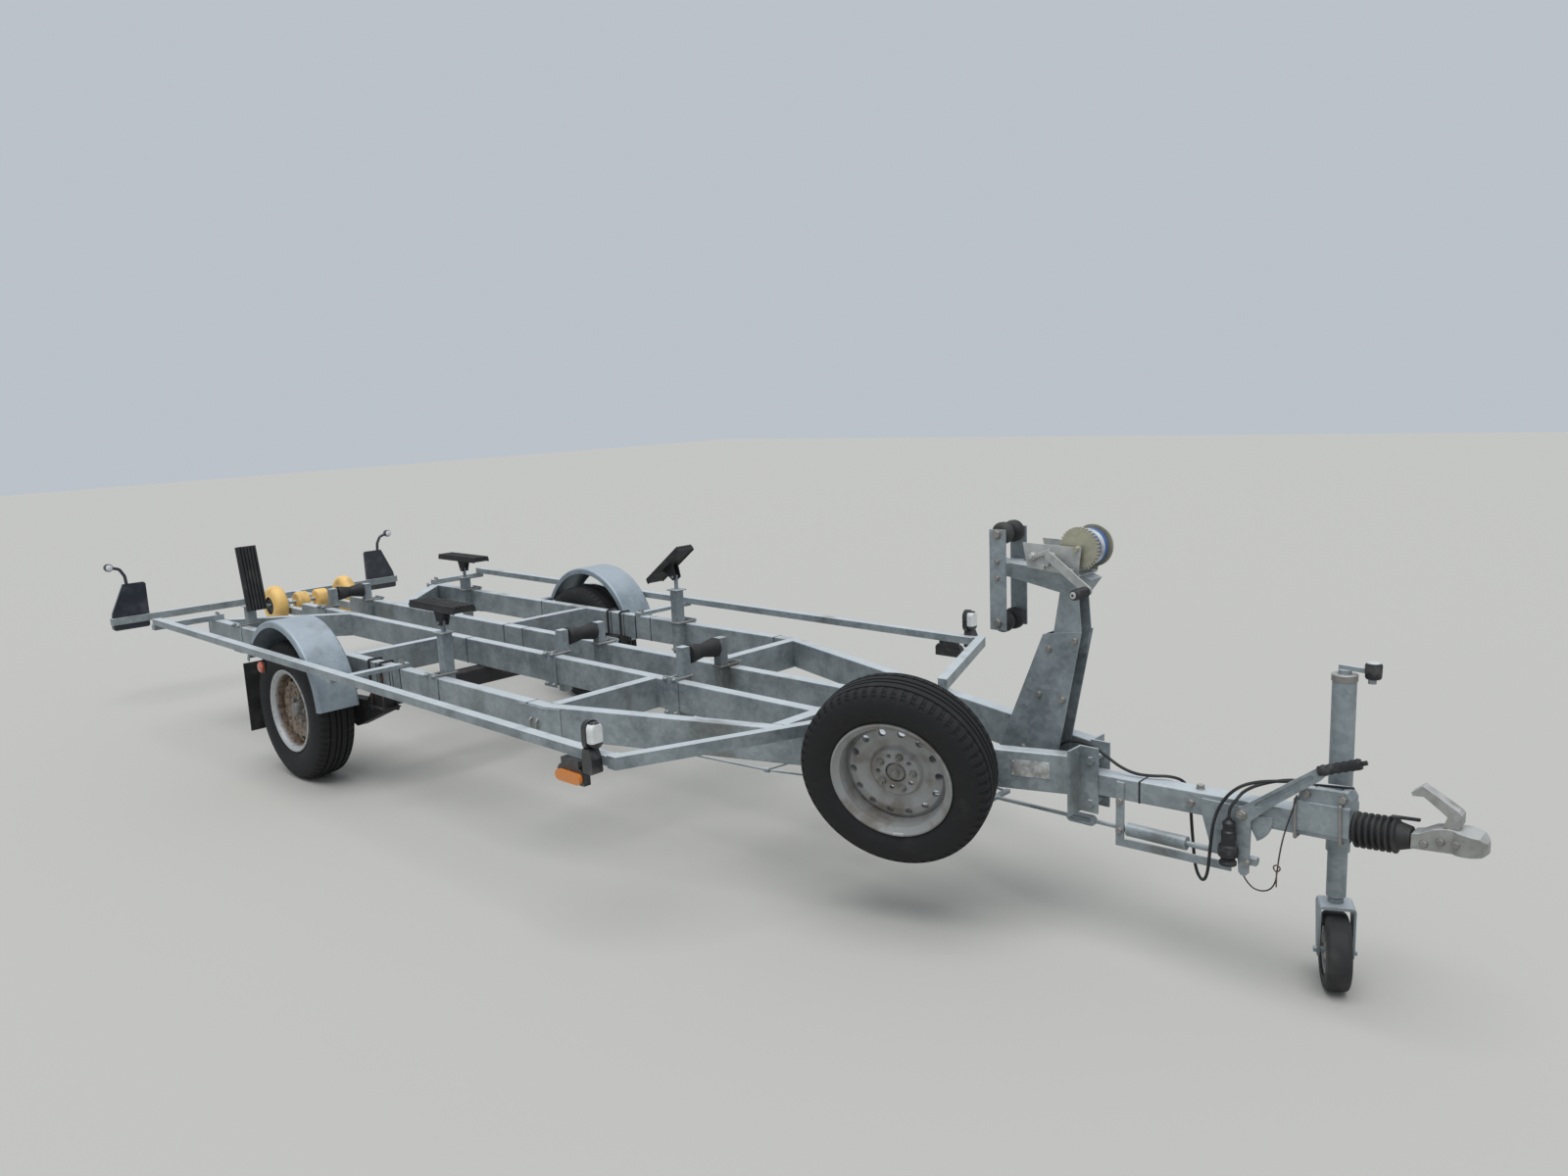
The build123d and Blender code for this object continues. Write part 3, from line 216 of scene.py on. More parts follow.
def zinc_coat(name, dark, light, top, dirt):
    """Galvanised steel: two greys in cells and clouds, brown where dirt lies, and a painted highlight that
    makes upward faces pale.
    """
    finish = Finish(name)
    clouds = finish.noise(9, 5)
    spangle = finish.cells(70)
    fine = finish.noise(160, 2)
    mottle = clouds.step(0.3, 0.7) * 0.6 + spangle * 0.35 + fine * 0.12
    colour = finish.mix(mottle, dark, light)
    # painted highlight: faces that point up are mixed towards the pale top colour, as if lit from above
    colour = finish.mix(finish.upward().step(0.55, 0.95) * 0.75, colour, top)
    stain = finish.noise(5, 6, (1, 1, 0.35)).step(0.56, 0.72) * dirt
    colour = finish.mix(stain, colour, (0.10, 0.085, 0.06))
    gloss = clouds * 0.35 + spangle * 0.12 + 0.28
    finish.cover(colour, gloss, 0.35, fine * 0.4 + spangle * 0.25, 0.0006)
    return finish


def paint(finish, *names):
    for name in names:
        node = frame["nodes"][name]
        if not node.material_slots:
            node.data.materials.append(finish.data)
        for slot in node.material_slots:
            slot.material = finish.data


SHARP = radians(38)


def piece(name, bm, finish, body):
    """The finished mesh as an object that rides on its body; edges turned by more than SHARP stay crisp."""
    bmesh.ops.recalc_face_normals(bm, faces=bm.faces)
    mesh = bpy.data.meshes.new(name)
    bm.to_mesh(mesh)
    bm.free()
    mesh.materials.append(finish.data)
    mesh.shade_smooth()
    mesh.set_sharp_from_angle(angle=SHARP)
    made = bpy.data.objects.new(name, mesh)
    scene_objects.link(made)
    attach(made, body)
    return made


def box(bm, centre, size, turn=Matrix.Identity(4)):
    """A box, its size in millimetres; gives its faces."""
    place = Matrix.Translation(centre) @ turn @ Matrix.Diagonal((*(Vector(size) / 1000), 1))
    made = bmesh.ops.create_cube(bm, size=1, matrix=place)
    return list(dict.fromkeys(face for vert in made["verts"] for face in vert.link_faces))


ZINC = zinc_coat("zinc", (0.15, 0.18, 0.195), (0.33, 0.37, 0.385), (0.62, 0.66, 0.68), 0.5)
paint(ZINC, "outer_rails", "keel_rails", "cross_members", "nose_cross_member", "drawbar", "clamp_angles")

BLACK_PLASTIC = Finish("black_plastic")
scuffs = BLACK_PLASTIC.noise(30, 6)
BLACK_PLASTIC.cover(
    BLACK_PLASTIC.mix(scuffs.step(0.5, 0.75), (0.012, 0.012, 0.014), (0.06, 0.058, 0.055)),
    scuffs * 0.4 + 0.3, 0, BLACK_PLASTIC.noise(260, 2), 0.0004)

RAIL_Y = 668
RAIL_Z = 510
RAIL_WIDE = 50
RAIL_TALL = 120
RAIL_REAR = -4950
bm = bmesh.new()
for side in (-1, 1):
    cap = box(bm, at(RAIL_REAR - 2, side * RAIL_Y, RAIL_Z), (4, RAIL_WIDE + 2, RAIL_TALL + 2))
    back = [face for face in cap if face.normal.x < -0.9]
    bmesh.ops.inset_region(bm, faces=back, thickness=0.007, depth=-0.0025)
    bmesh.ops.inset_region(bm, faces=back, thickness=0.004, depth=0.002)
piece("rail_end_caps", bm, BLACK_PLASTIC, "chassis")

# Straps: flat black plastic ties and clips, pulled tight round the rails and the drawbar, which hold the
# brake cables, the hoses and the wiring
KEEL_Y = 147
STRAPS = (
    # x, y, width
    (-3055, -RAIL_Y, 8), (-3037, -RAIL_Y, 5), (-2942, -RAIL_Y, 8), (-2917, -RAIL_Y, 5),
    (-2849, -RAIL_Y, 8), (-2592, -RAIL_Y, 5), (-3713, RAIL_Y, 5), (-3089, RAIL_Y, 8), (-3016, RAIL_Y, 8),
    (-2984, RAIL_Y, 5), (-2889, RAIL_Y, 8), (-2772, RAIL_Y, 5), (-3299, KEEL_Y, 6), (-3135, KEEL_Y, 6),
    (-3382, -KEEL_Y, 6), (-3172, -KEEL_Y, 6), (-1905, -RAIL_Y, 5), (-1905, RAIL_Y, 5),
)
STRAP_THICK = 0.002


def band(bm, centre, width, across, high):
    """A strap round a tube that runs along X, half a millimetre clear of it."""
    faces = box(bm, centre, (width, across + 1, high + 1))
    ends = [face for face in faces if abs(face.normal.x) > 0.9]
    bmesh.ops.delete(bm, geom=ends, context="FACES_ONLY")
    walls = [face for face in faces if face.is_valid]
    bmesh.ops.solidify(bm, geom=walls, thickness=STRAP_THICK)


bm = bmesh.new()
for x, y, width in STRAPS:
    band(bm, at(x, y, RAIL_Z), width, RAIL_WIDE, RAIL_TALL)
band(bm, at(190, 0, 475), 6, 65, 65)
piece("rail_straps", bm, BLACK_PLASTIC, "chassis")


# Drawbar: bolts with nuts go through the square tube, and four more hold the hanger plate at its rear end
# to the nose cross member. The right-hand outer rail carries a bare metal plate on four rivets.
def facing(where, axis):
    """A place whose Z points along the axis."""
    return Matrix.Translation(where) @ Vector(axis).to_track_quat("Z", "Y").to_matrix().to_4x4()


def bolt(bm, where, axis, across=19, head=11, stud=0):
    """A hexagon head or nut on a round washer, with the stud's end showing out of a nut."""
    stack = (
        # sides, radius over the width across flats, foot and height over the head's height
        (20, 0.68, 0, 0.2), (6, 0.577, 0.2, 1), (12, 0.32, 1.2, stud / head),
    )
    for sides, wide, low, tall in stack:
        if tall:
            radius, depth = wide * across / 1000, tall * head / 1000
            middle = facing(where, axis) @ Matrix.Translation((0, 0, low * head / 1000 + depth / 2))
            made = bmesh.ops.create_cone(bm, cap_ends=True, segments=sides, radius1=radius, radius2=radius,
                                         depth=depth, matrix=middle)
            edges = dict.fromkeys(edge for vert in made["verts"] for edge in vert.link_edges)
            rims = [edge for edge in edges if any(len(face.verts) > 4 for face in edge.link_faces)]
            bmesh.ops.bevel(bm, geom=rims, offset=radius * 0.07, offset_type="OFFSET", segments=1,
                            profile=0.5, affect="EDGES", material=-1)


def block(bm, centre, size, turn=Matrix.Identity(4), ease=1.5):
    """A box with eased edges; size and ease in millimetres."""
    edges = list(dict.fromkeys(edge for face in box(bm, centre, size, turn) for edge in face.edges))
    bmesh.ops.bevel(bm, geom=edges, offset=ease / 1000, offset_type="OFFSET", segments=2, profile=0.5,
                    affect="EDGES", material=-1)


FASTENER = zinc_coat("fasteners", (0.13, 0.13, 0.125), (0.30, 0.29, 0.27), (0.42, 0.42, 0.40), 0.9)
bm = bmesh.new()
for x, z in ((344, 480), (-560, 455)):
    bolt(bm, at(x, -32.5, z), (0, -1, 0))
    bolt(bm, at(x, 32.5, z), (0, 1, 0), stud=9)
for y in (-38, 38):
    for z in (425, 530):
        bolt(bm, at(-899, y, z), (1, 0, 0), 17, 10)
piece("drawbar_bolts", bm, FASTENER, "chassis")

PLATE = Finish("bare_plate")
wear = PLATE.noise(40, 5)
PLATE.cover(PLATE.mix(wear.step(0.35, 0.75), (0.55, 0.56, 0.55), (0.26, 0.26, 0.25)), wear * 0.4 + 0.2, 0.6,
            wear, 0.0002)
RAIL_SPLAY = 0.3141
RAIL_ALONG = Vector((cos(RAIL_SPLAY), sin(RAIL_SPLAY), 0))
RAIL_OUT = Vector((sin(RAIL_SPLAY), -cos(RAIL_SPLAY), 0))
PLATE_SIZE = (118, 2, 52)
RIVET_R = 0.003
middle = at(-105, -142.1, 519) + RAIL_OUT * 0.0012
bm = bmesh.new()
block(bm, middle, PLATE_SIZE, Matrix.Rotation(RAIL_SPLAY, 4, "Z"), 0.6)
for along in (-52, 52):
    for up in (-20, 20):
        rivet = middle + (RAIL_ALONG * along + Vector((0, 0, up)) + RAIL_OUT) / 1000
        bmesh.ops.create_uvsphere(bm, u_segments=10, v_segments=6, radius=RIVET_R,
                                  matrix=Matrix.Translation(rivet))
piece("blank_plate", bm, PLATE, "chassis")


# Winch stand: a tapered post and a sloping arm of folded galvanised plate, bolted together through their
# sides, with the frame of the bow rollers on the arm's end. The rollers are black rubber on long bolts.
def bolts_each_side(bm, y, spots, across, head, stud=0):
    """The same bolts on the left and the right of a piece, y millimetres from the trailer's middle."""
    for side in (-1, 1):
        for x, z in spots:
            bolt(bm, at(x, side * y, z), (0, side, 0), across, head, stud)


paint(ZINC, "winch_post", "winch_arm", "bow_stop_frame")
bm = bmesh.new()
bolts_each_side(bm, 37.5, ((-100, 868), (-14, 903), (-135, 722), (-55, 716), (-190, 545), (-110, 530)), 17, 9)
bolts_each_side(bm, 63, ((-262, 935), (-262, 1210)), 24, 9)
bolts_each_side(bm, 63, ((-262, 1075), (-262, 1125)), 13, 7)
piece("post_bolts", bm, FASTENER, "chassis")

RUBBER = Finish("rubber")
dust = RUBBER.noise(14, 6)
RUBBER.cover(
    RUBBER.mix(dust.step(0.45, 0.8) * 0.6, (0.016, 0.016, 0.017), (0.075, 0.072, 0.066)),
    dust * 0.3 + 0.55, 0, RUBBER.noise(220, 3), 0.0006)
paint(RUBBER, "bow_rollers_top", "bow_rollers_bottom")

# Winch: drum, gear and flange in yellow zinc, side plates, pawl and crank in bright zinc, and a ribbed
# black sleeve on the crank. The strap is white webbing with blue edges, wound tight on the drum.
YELLOW_ZINC = zinc_coat("yellow_zinc", (0.25, 0.25, 0.20), (0.44, 0.42, 0.31), (0.55, 0.53, 0.42), 0.8)
paint(YELLOW_ZINC, "winch_drum")
BRIGHT_ZINC = zinc_coat("bright_zinc", (0.30, 0.31, 0.30), (0.52, 0.53, 0.51), (0.68, 0.69, 0.67), 0.35)
paint(BRIGHT_ZINC, "winch_frame", "winch_crank")
WEBBING = Finish("webbing")
stripe = abs(WEBBING.axis("Y")).step(0.010, 0.013)
cloth = WEBBING.mix(stripe, (0.55, 0.57, 0.60), (0.05, 0.12, 0.30))
WEBBING.cover(WEBBING.mix(WEBBING.noise(25, 5).step(0.5, 0.8) * 0.7, cloth, (0.09, 0.09, 0.09)), 0.85, 0,
              WEBBING.waves("Y", 60.0) + WEBBING.noise(300, 2) * 0.3, 0.0012)
paint(WEBBING, "winch_strap")

MERGE = 0.00001


def turned(bm, profile, place, steps=32, ring=False):
    """(radius, height) pairs in millimetres spun about the place's Z; a ring's line is closed."""
    verts = [bm.verts.new(place @ Vector((r / 1000, 0, h / 1000))) for r, h in profile]
    ends = verts[1:] + verts[:1] if ring else verts[1:]
    edges = [bm.edges.new(pair) for pair in zip(verts, ends)]
    bmesh.ops.spin(bm, geom=verts + edges, cent=place.translation, axis=place.to_3x3() @ Vector((0, 0, 1)),
                   dvec=(0, 0, 0), angle=tau, steps=steps, use_merge=True)
    bmesh.ops.remove_doubles(bm, verts=bm.verts, dist=MERGE)


def grip_ribs(radius, count, first, pitch, half):
    """The swellings of a moulded grip, each 2 mm proud, as (radius, height) pairs."""
    line = []
    for foot in range(first, first + count * pitch, pitch):
        line += [(radius, foot), (radius + 2, foot + half), (radius, foot + 2 * half)]
    return line


CRANK_PIN = facing(at(50, -90, 1064), (0, -1, 0))
bm = bmesh.new()
turned(bm, [(0, 0), (14, 0)] + grip_ribs(14, 7, 4, 9, 3) + [(15, 70), (12, 76), (0, 77)], CRANK_PIN)
piece("winch_grip", bm, BLACK_PLASTIC, "winch_crank")
bm = bmesh.new()
turned(bm, [(4, 75), (4, 79), (9, 79), (10, 77), (10, 75)], CRANK_PIN, 20)
piece("winch_grip_end", bm, BRIGHT_ZINC, "winch_crank")

bm = bmesh.new()
bolts_each_side(bm, 60, ((-140, 1149),), 22, 10, 6)
bolts_each_side(bm, 60, ((-105, 1120), (-15, 1112)), 15, 8)
block(bm, at(-112, -66, 1158), (70, 7, 14), Matrix.Rotation(radians(-20), 4, "Y"), 2)
block(bm, at(-86, -66, 1139), (14, 7, 34), Matrix.Rotation(radians(25), 4, "Y"), 2)
piece("winch_pawl", bm, BRIGHT_ZINC, "chassis")

# Coupling: a cast head with a pressed handle and a black gauge pointer, on a shaft that slides in the
# galvanised housing under ribbed black bellows. Side bolts and two bent hoops hold the housing.
CAST = zinc_coat("cast_zinc", (0.20, 0.20, 0.185), (0.40, 0.40, 0.385), (0.54, 0.545, 0.53), 0.9)
paint(CAST, "coupling_head", "coupling_handle")
paint(ZINC, "coupling_housing")
paint(RUBBER, "bellows")
bm = bmesh.new()
bolts_each_side(bm, 28, ((929, 501), (965, 514)), 15, 6)
bolts_each_side(bm, 35, ((1000, 518),), 15, 6)
bolts_each_side(bm, 30, ((652, 571), (741, 573)), 17, 8)
bolt(bm, at(356, 2, 512), (0, 0, 1), 19, 11)
piece("coupling_bolts", bm, FASTENER, "chassis")
bm = bmesh.new()
block(bm, at(880, 0, 547), (66, 12, 7), Matrix.Rotation(radians(-4), 4, "Y"), 2)
block(bm, at(705, 0, 593), (106, 7, 6), Matrix.Rotation(radians(-6), 4, "Y"), 2)
piece("gauge_pointer", bm, BLACK_PLASTIC, "chassis")


def rods(name, paths, radius, finish):
    """Round bar bent to each path, on the chassis; the corners round themselves."""
    curve = bpy.data.curves.new(name, "CURVE")
    curve.dimensions = "3D"
    curve.bevel_depth = radius / 1000
    curve.bevel_resolution = 3
    curve.resolution_u = 6
    curve.use_fill_caps = True
    for path in paths:
        spline = curve.splines.new("NURBS")
        spline.points.add(len(path) - 1)
        for point, where in zip(spline.points, path):
            point.co = (*where, 1)
        spline.order_u = 3
        spline.use_endpoint_u = True
    curve.materials.append(finish.data)
    made = bpy.data.objects.new(name, curve)
    scene_objects.link(made)
    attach(made, "chassis")
    return made


def staple(*corners, bend=14):
    """The line of a U-bolt or a hoop, bent round its inner corners."""
    line = [corners[0]]
    for before, turn, after in zip(corners, corners[1:], corners[2:]):
        line += [turn + (before - turn).normalized() * bend / 1000, turn,
                 turn + (after - turn).normalized() * bend / 1000]
    return line + [corners[-1]]


HOOP_Y = 43.5
HOOPS = (
    # x and z of the upper ends, x and z of the foot, y where the upper ends stop
    (627, 554, 629, 449, 0), (738, 557, 741, 453, 28),
)
hoops = []
for x, top, low_x, low, start_y in HOOPS:
    hoops.append(staple(at(x, -start_y, top), at(x, -HOOP_Y, top), at(low_x, -HOOP_Y, low),
                        at(low_x, HOOP_Y, low), at(x, HOOP_Y, top), at(x, start_y, top), bend=10))
rods("housing_hoops", hoops, 4, FASTENER)

# Handbrake: a flat galvanised lever on a toothed sector, with a black moulded finger grip. It pulls the
# rod and the wheel cables under the drawbar; bolts pin the lever and hold the rod's bracket.
paint(ZINC, "handbrake_lever", "brake_bracket", "brake_rod")
bm = bmesh.new()
tip = [(15, 100), (13, 107), (6, 110), (6, 122), (0, 123)]
turned(bm, [(0, 0), (13, 0)] + grip_ribs(13, 5, 6, 18, 7) + tip, facing(at(684, -45.5, 643), (0.93, 0, 0.36)))
piece("brake_grip", bm, BLACK_PLASTIC, "chassis")
bm = bmesh.new()
bolt(bm, at(493, -50.5, 484), (0, -1, 0), 24, 10, 7)
bolt(bm, at(510, -50.5, 350), (0, -1, 0), 15, 8)
for z in (350, 440):
    bolt(bm, at(133, -38.5, z), (0, -1, 0), 17, 9)
piece("brake_bolts", bm, FASTENER, "chassis")

# Electric cable: black rubber, out of the drawbar's gland, in a loop under the drawbar and back over it to
# the moulded plug, which is parked beside the handbrake. The thin breakaway cable hangs slack from the
# handbrake's grip to the foot of its bracket, with a bent and rusty hook on it.
CABLE = (
    (-95, -5, 515.3), (-95, -5, 550), (-59, -5, 580), (-8, -5, 585), (37, -5, 575), (76, -5, 553),
    (116, -4, 530), (163, -1, 517), (212, 6, 519), (256, 24, 523), (290, 51, 508), (303, 55, 464),
    (310, 48, 418), (321, 31, 375), (337, 6, 334), (346, -6, 296), (361, -20, 268), (383, -38, 259),
    (400, -54, 279), (409, -62, 314), (413, -65, 358), (416, -64, 404), (420, -61, 450), (433, -58, 494),
    (456, -52, 534), (489, -46, 564), (529, -38, 580), (567, -25, 586), (598, -10, 587), (613, 14, 584),
    (601, 40, 577), (570, 50, 568), (537, 38, 560), (512, 14, 553), (497, -14, 548), (487, -42, 540),
    (478, -62, 520), (466, -71, 500), (466, -71, 474),
)
CABLE_R = 4.5
cable = rods("electric_cord", [[at(*point) for point in CABLE]], CABLE_R, RUBBER)
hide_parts("electric_cable")
paint(BLACK_PLASTIC, "electric_plug")
plug_axis = Matrix.Translation(at(466, -71, 0))
bm = bmesh.new()
turned(bm, [(18, 340), (23, 342), (23, 350), (18, 354)], plug_axis)
turned(bm, [(18, 362), (25, 366), (27, 374), (27, 386), (25, 396), (18, 400)], plug_axis)
turned(bm, [(6, 455), (17, 455), (17, 462), (10, 468), (6, 470)], plug_axis)
plug_rings = piece("plug_rings", bm, BLACK_PLASTIC, "chassis")

BREAKAWAY = (
    (632, -46, 567), (626, -47, 532), (612, -47, 486), (601, -48, 440), (594, -49, 394), (590, -50, 350),
    (587, -50, 314), (573, -50, 288), (546, -50, 277), (517, -48, 284), (500, -46, 308),
)
BREAKAWAY_R = 2
breakaway = rods("breakaway_cord", [[at(*point) for point in BREAKAWAY]], BREAKAWAY_R, BLACK_PLASTIC)
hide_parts("breakaway_cable")
RUSTY = zinc_coat("rusty_bar", (0.10, 0.055, 0.035), (0.17, 0.11, 0.08), (0.2, 0.15, 0.11), 0.9)
HOOK_X, HOOK_Y = 590, -54
HOOK_EYE_Z = 356
HOOK_EYE_R = 9
pin_path = []
for turn in range(20, 360, 40):
    across, down = HOOK_EYE_R * sin(radians(turn)), HOOK_EYE_R * cos(radians(turn))
    pin_path.append(at(HOOK_X + across, HOOK_Y, HOOK_EYE_Z - down))
pin_path += [at(HOOK_X, HOOK_Y, z) for z in (345, 325, 303)]
hook = rods("breakaway_pin", [pin_path], BREAKAWAY_R, RUSTY)

# Jockey wheel: a galvanised tube with a cap ring, held in a bolted clamp, and a crank with a black knob on
# top. Its small solid rubber wheel turns on a pressed rim whose silver paint is chipped and rusty.
paint(ZINC, "jockey_tube", "jockey_clamp", "jockey_crank", "jockey_leg", "jockey_fork")
SILVER = Finish("silver_paint")
chips = SILVER.noise(18, 8)
SILVER.cover(
    SILVER.mix(chips.step(0.5, 0.62), (0.42, 0.42, 0.41), (0.16, 0.085, 0.045)),
    chips * 0.5 + 0.25, 0.35, chips * 0.6 + SILVER.noise(140, 3) * 0.4, 0.0008)
paint(SILVER, "jockey_rim")
paint(RUBBER, "jockey_tyre")
JOCKEY = (695, 97)
KNOB = facing(at(764, 97, 868), (0, 0, 1))
bm = bmesh.new()
turned(bm, [(0, 0), (17, 0), (20, 4), (21, 36), (18, 41), (0, 41)], KNOB)
piece("jockey_knob", bm, BLACK_PLASTIC, "chassis")
bm = bmesh.new()
turned(bm, [(17, 40), (17, 42.5), (14, 44), (0, 44)], KNOB)
piece("jockey_knob_top", bm, BRIGHT_ZINC, "chassis")
bm = bmesh.new()
turned(bm, [(29, -14), (32.5, -14), (32.5, 2), (30, 4), (17, 4), (17, 1), (29, 1), (29, -14)],
       facing(at(*JOCKEY, 869), (0, 0, 1)))
bolt(bm, at(JOCKEY[0] - 12, JOCKEY[1] + 38, 495), (-0.3, 1, 0), 17, 9, 14)
piece("jockey_cap", bm, FASTENER, "chassis")

# Axle and arms: a square steel tube with a trailing arm and a stub axle at each end, painted black and
# flaking to rust. Plates and U-bolts over the outer rails hold it, with the nuts underneath.
BLACK_STEEL = Finish("black_steel")
flakes = BLACK_STEEL.noise(22, 8)
BLACK_STEEL.cover(BLACK_STEEL.mix(flakes.step(0.54, 0.7), (0.022, 0.022, 0.024), (0.075, 0.045, 0.03)),
                  flakes * 0.5 + 0.35, 0.2, flakes, 0.0012)
paint(BLACK_STEEL, "axle_tube", "suspension_arms")
AXLE_X = -3060
U_LOW = 350
U_TOP = 576
axle_paths = []
bm = bmesh.new()
for side in (-1, 1):
    inner, outer = side * (RAIL_Y - 31), side * (RAIL_Y + 31)
    for x in (AXLE_X - 52, AXLE_X + 52):
        axle_paths.append(staple(at(x, inner, U_LOW), at(x, inner, U_TOP), at(x, outer, U_TOP),
                                 at(x, outer, U_LOW)))
        for y in (inner, outer):
            bolt(bm, at(x, y, U_LOW + 14), (0, 0, -1), 17, 10)
    block(bm, at(AXLE_X, side * RAIL_Y, U_LOW + 17), (130, 86, 6))
piece("axle_plates", bm, BLACK_STEEL, "chassis")
rods("axle_u_bolts", axle_paths, 5, BLACK_STEEL)

# Road wheels: worn radial tyres with grooves and shoulder cuts, on pressed steel rims that are silver at
# the lip and brown with rust inside. Five bolts, a grease cap and a rubber valve sit in each disc.
WHEEL_X = -3519
WHEEL_Y = 823
TYRE_R = 325
TYRE_HALF = 92
BEAD_R = 178
TREAD_STEPS = 120
LIP = (0.1665, 0.170)
STUDS = 5
STUD_CIRCLE_R = 56
HUB_SEAT = 24
VALVE_AT = Vector((0.157, 0, 0.032))
VALVE_LEAN = Vector((-0.2, 0, 1))
TYRE = Finish("tyre")
worn = TYRE.noise(20, 6)
TYRE.cover(TYRE.mix(worn.step(0.5, 0.85) * 0.5, (0.007, 0.007, 0.008), (0.036, 0.034, 0.031)),
           worn * 0.2 + 0.7, 0, TYRE.noise(200, 3) + worn, 0.0005)


def wheel_paint(name, side):
    """Silver at the rim's lip; the deep disc behind it has gone brown with rust and brake dust."""
    finish = Finish(name)
    flecks = finish.noise(60, 8)
    lip = finish.away(at(WHEEL_X, side * WHEEL_Y, TYRE_R), (1, 0, 1)).step(*LIP)
    rust = finish.mix(flecks.step(0.4, 0.65), (0.24, 0.19, 0.145), (0.10, 0.062, 0.04))
    bright = finish.mix(flecks.step(0.58, 0.72), (0.46, 0.47, 0.47), (0.20, 0.15, 0.11))
    finish.cover(finish.mix(lip, rust, bright), flecks * 0.4 + 0.3, 0.3, flecks, 0.0008)
    return finish


def tyre(name, node, body, place, half, outer):
    """A tyre round its place's Z: beads, bulged walls, and a tread with grooves and shoulder cuts."""
    wall = (
        # height over the half width, rise over the wall's height
        (0.76, 0), (0.80, 0.12), (0.93, 0.25), (0.99, 0.39), (1, 0.52), (0.98, 0.66), (0.93, 0.79),
        (0.85, 0.89), (0.76, 0.952), (0.67, 0.972), (0.48, 0.986), (0.465, 0.94), (0.40, 0.94),
        (0.385, 0.99), (0.165, 1), (0.15, 0.95), (0.085, 0.95), (0.07, 1),
    )
    profile = [(BEAD_R + (outer - BEAD_R) * up, half * across) for across, up in wall]
    profile += [(radius, -height) for radius, height in reversed(profile)]
    bm = bmesh.new()
    turned(bm, profile, place, TREAD_STEPS, ring=True)
    bmesh.ops.recalc_face_normals(bm, faces=bm.faces)
    inward = place.inverted()
    cuts = []
    for face in bm.faces:
        spot = inward @ face.calc_center_median() * 1000
        flat = Vector((spot.x, spot.y))
        turn = int(flat.angle_signed(Vector((1, 0)), 0) / tau * TREAD_STEPS + TREAD_STEPS)
        if half * 0.5 < abs(spot.z) < half * 0.9 and flat.length > outer - 20 and turn % 2:
            cuts.append(face)
    bmesh.ops.inset_individual(bm, faces=cuts, thickness=0.003, depth=-0.0025)
    made = piece(name, bm, TYRE, body)
    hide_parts(node)


def hub_bolts(bm, hub, seat, head, stud=0):
    """Five bolts or nuts on the hub's stud circle, seated so far along its axis."""
    for step in range(STUDS):
        angle = tau * step / STUDS
        spot = Vector((STUD_CIRCLE_R * cos(angle), STUD_CIRCLE_R * sin(angle), seat)) / 1000
        bolt(bm, hub @ spot, hub.to_3x3() @ Vector((0, 0, 1)), 19, head, stud)


for name, side in (("right", -1), ("left", 1)):
    paint(wheel_paint(f"wheel_paint_{name}", side), f"rim_{name}")
    hub = facing(at(WHEEL_X, side * WHEEL_Y, TYRE_R), (0, side, 0))
    tyre(f"road_tyre_{name}", f"tyre_{name}", f"road_wheel_{name}", hub, TYRE_HALF, TYRE_R)
    bm = bmesh.new()
    hub_bolts(bm, hub, HUB_SEAT, 13)
    turned(bm, [(32, HUB_SEAT), (32, 48), (29, 56), (20, 61), (0, 63)], hub)
    turned(bm, [(34, HUB_SEAT), (34, 27), (32, 27)], hub)
    piece(f"wheel_bolts_{name}", bm, FASTENER, f"road_wheel_{name}")
    bm = bmesh.new()
    turned(bm, [(0, 0), (5, 0), (5, 12), (3.5, 14), (3.5, 30), (0, 31)],
           facing(hub @ VALVE_AT, hub.to_3x3() @ VALVE_LEAN), 12)
    piece(f"valve_{name}", bm, RUBBER, f"road_wheel_{name}")

# Mudguards and flaps: rolled galvanised sheet over each wheel, smoother and bluer than the tube, with a
# black rubber flap on two bolts behind it
GUARD_ZINC = zinc_coat("guard_zinc", (0.19, 0.23, 0.26), (0.31, 0.36, 0.40), (0.40, 0.45, 0.49), 0.35)
paint(GUARD_ZINC, "fenders")
paint(RUBBER, "mud_flaps")
bm = bmesh.new()
for y in (-915, -800, 800, 915):
    bolt(bm, at(-3873, y, 495), (-1, 0, 0), 13, 6)
piece("flap_bolts", bm, FASTENER, "chassis")

# Side rails and arms: small galvanised tube. U-bolts hold the arms to the outer rails and the side rails
# to the arms, and their ends and nuts stand up on top.
paint(ZINC, "side_rails", "side_arms")
SIDE_RAIL_Y = 975
CROSSINGS = (
    # x, y, z
    (-2870, RAIL_Y, 587), (-4880, RAIL_Y, 599), (-2858, SIDE_RAIL_Y, 587), (-4880, SIDE_RAIL_Y, 599),
)
bm = bmesh.new()
for side in (-1, 1):
    for x, y, z in CROSSINGS:
        for along in (-12, 12):
            bolt(bm, at(x + along, side * y, z), (0, 0, 1), 13, 7, 6)
piece("arm_bolts", bm, FASTENER, "chassis")

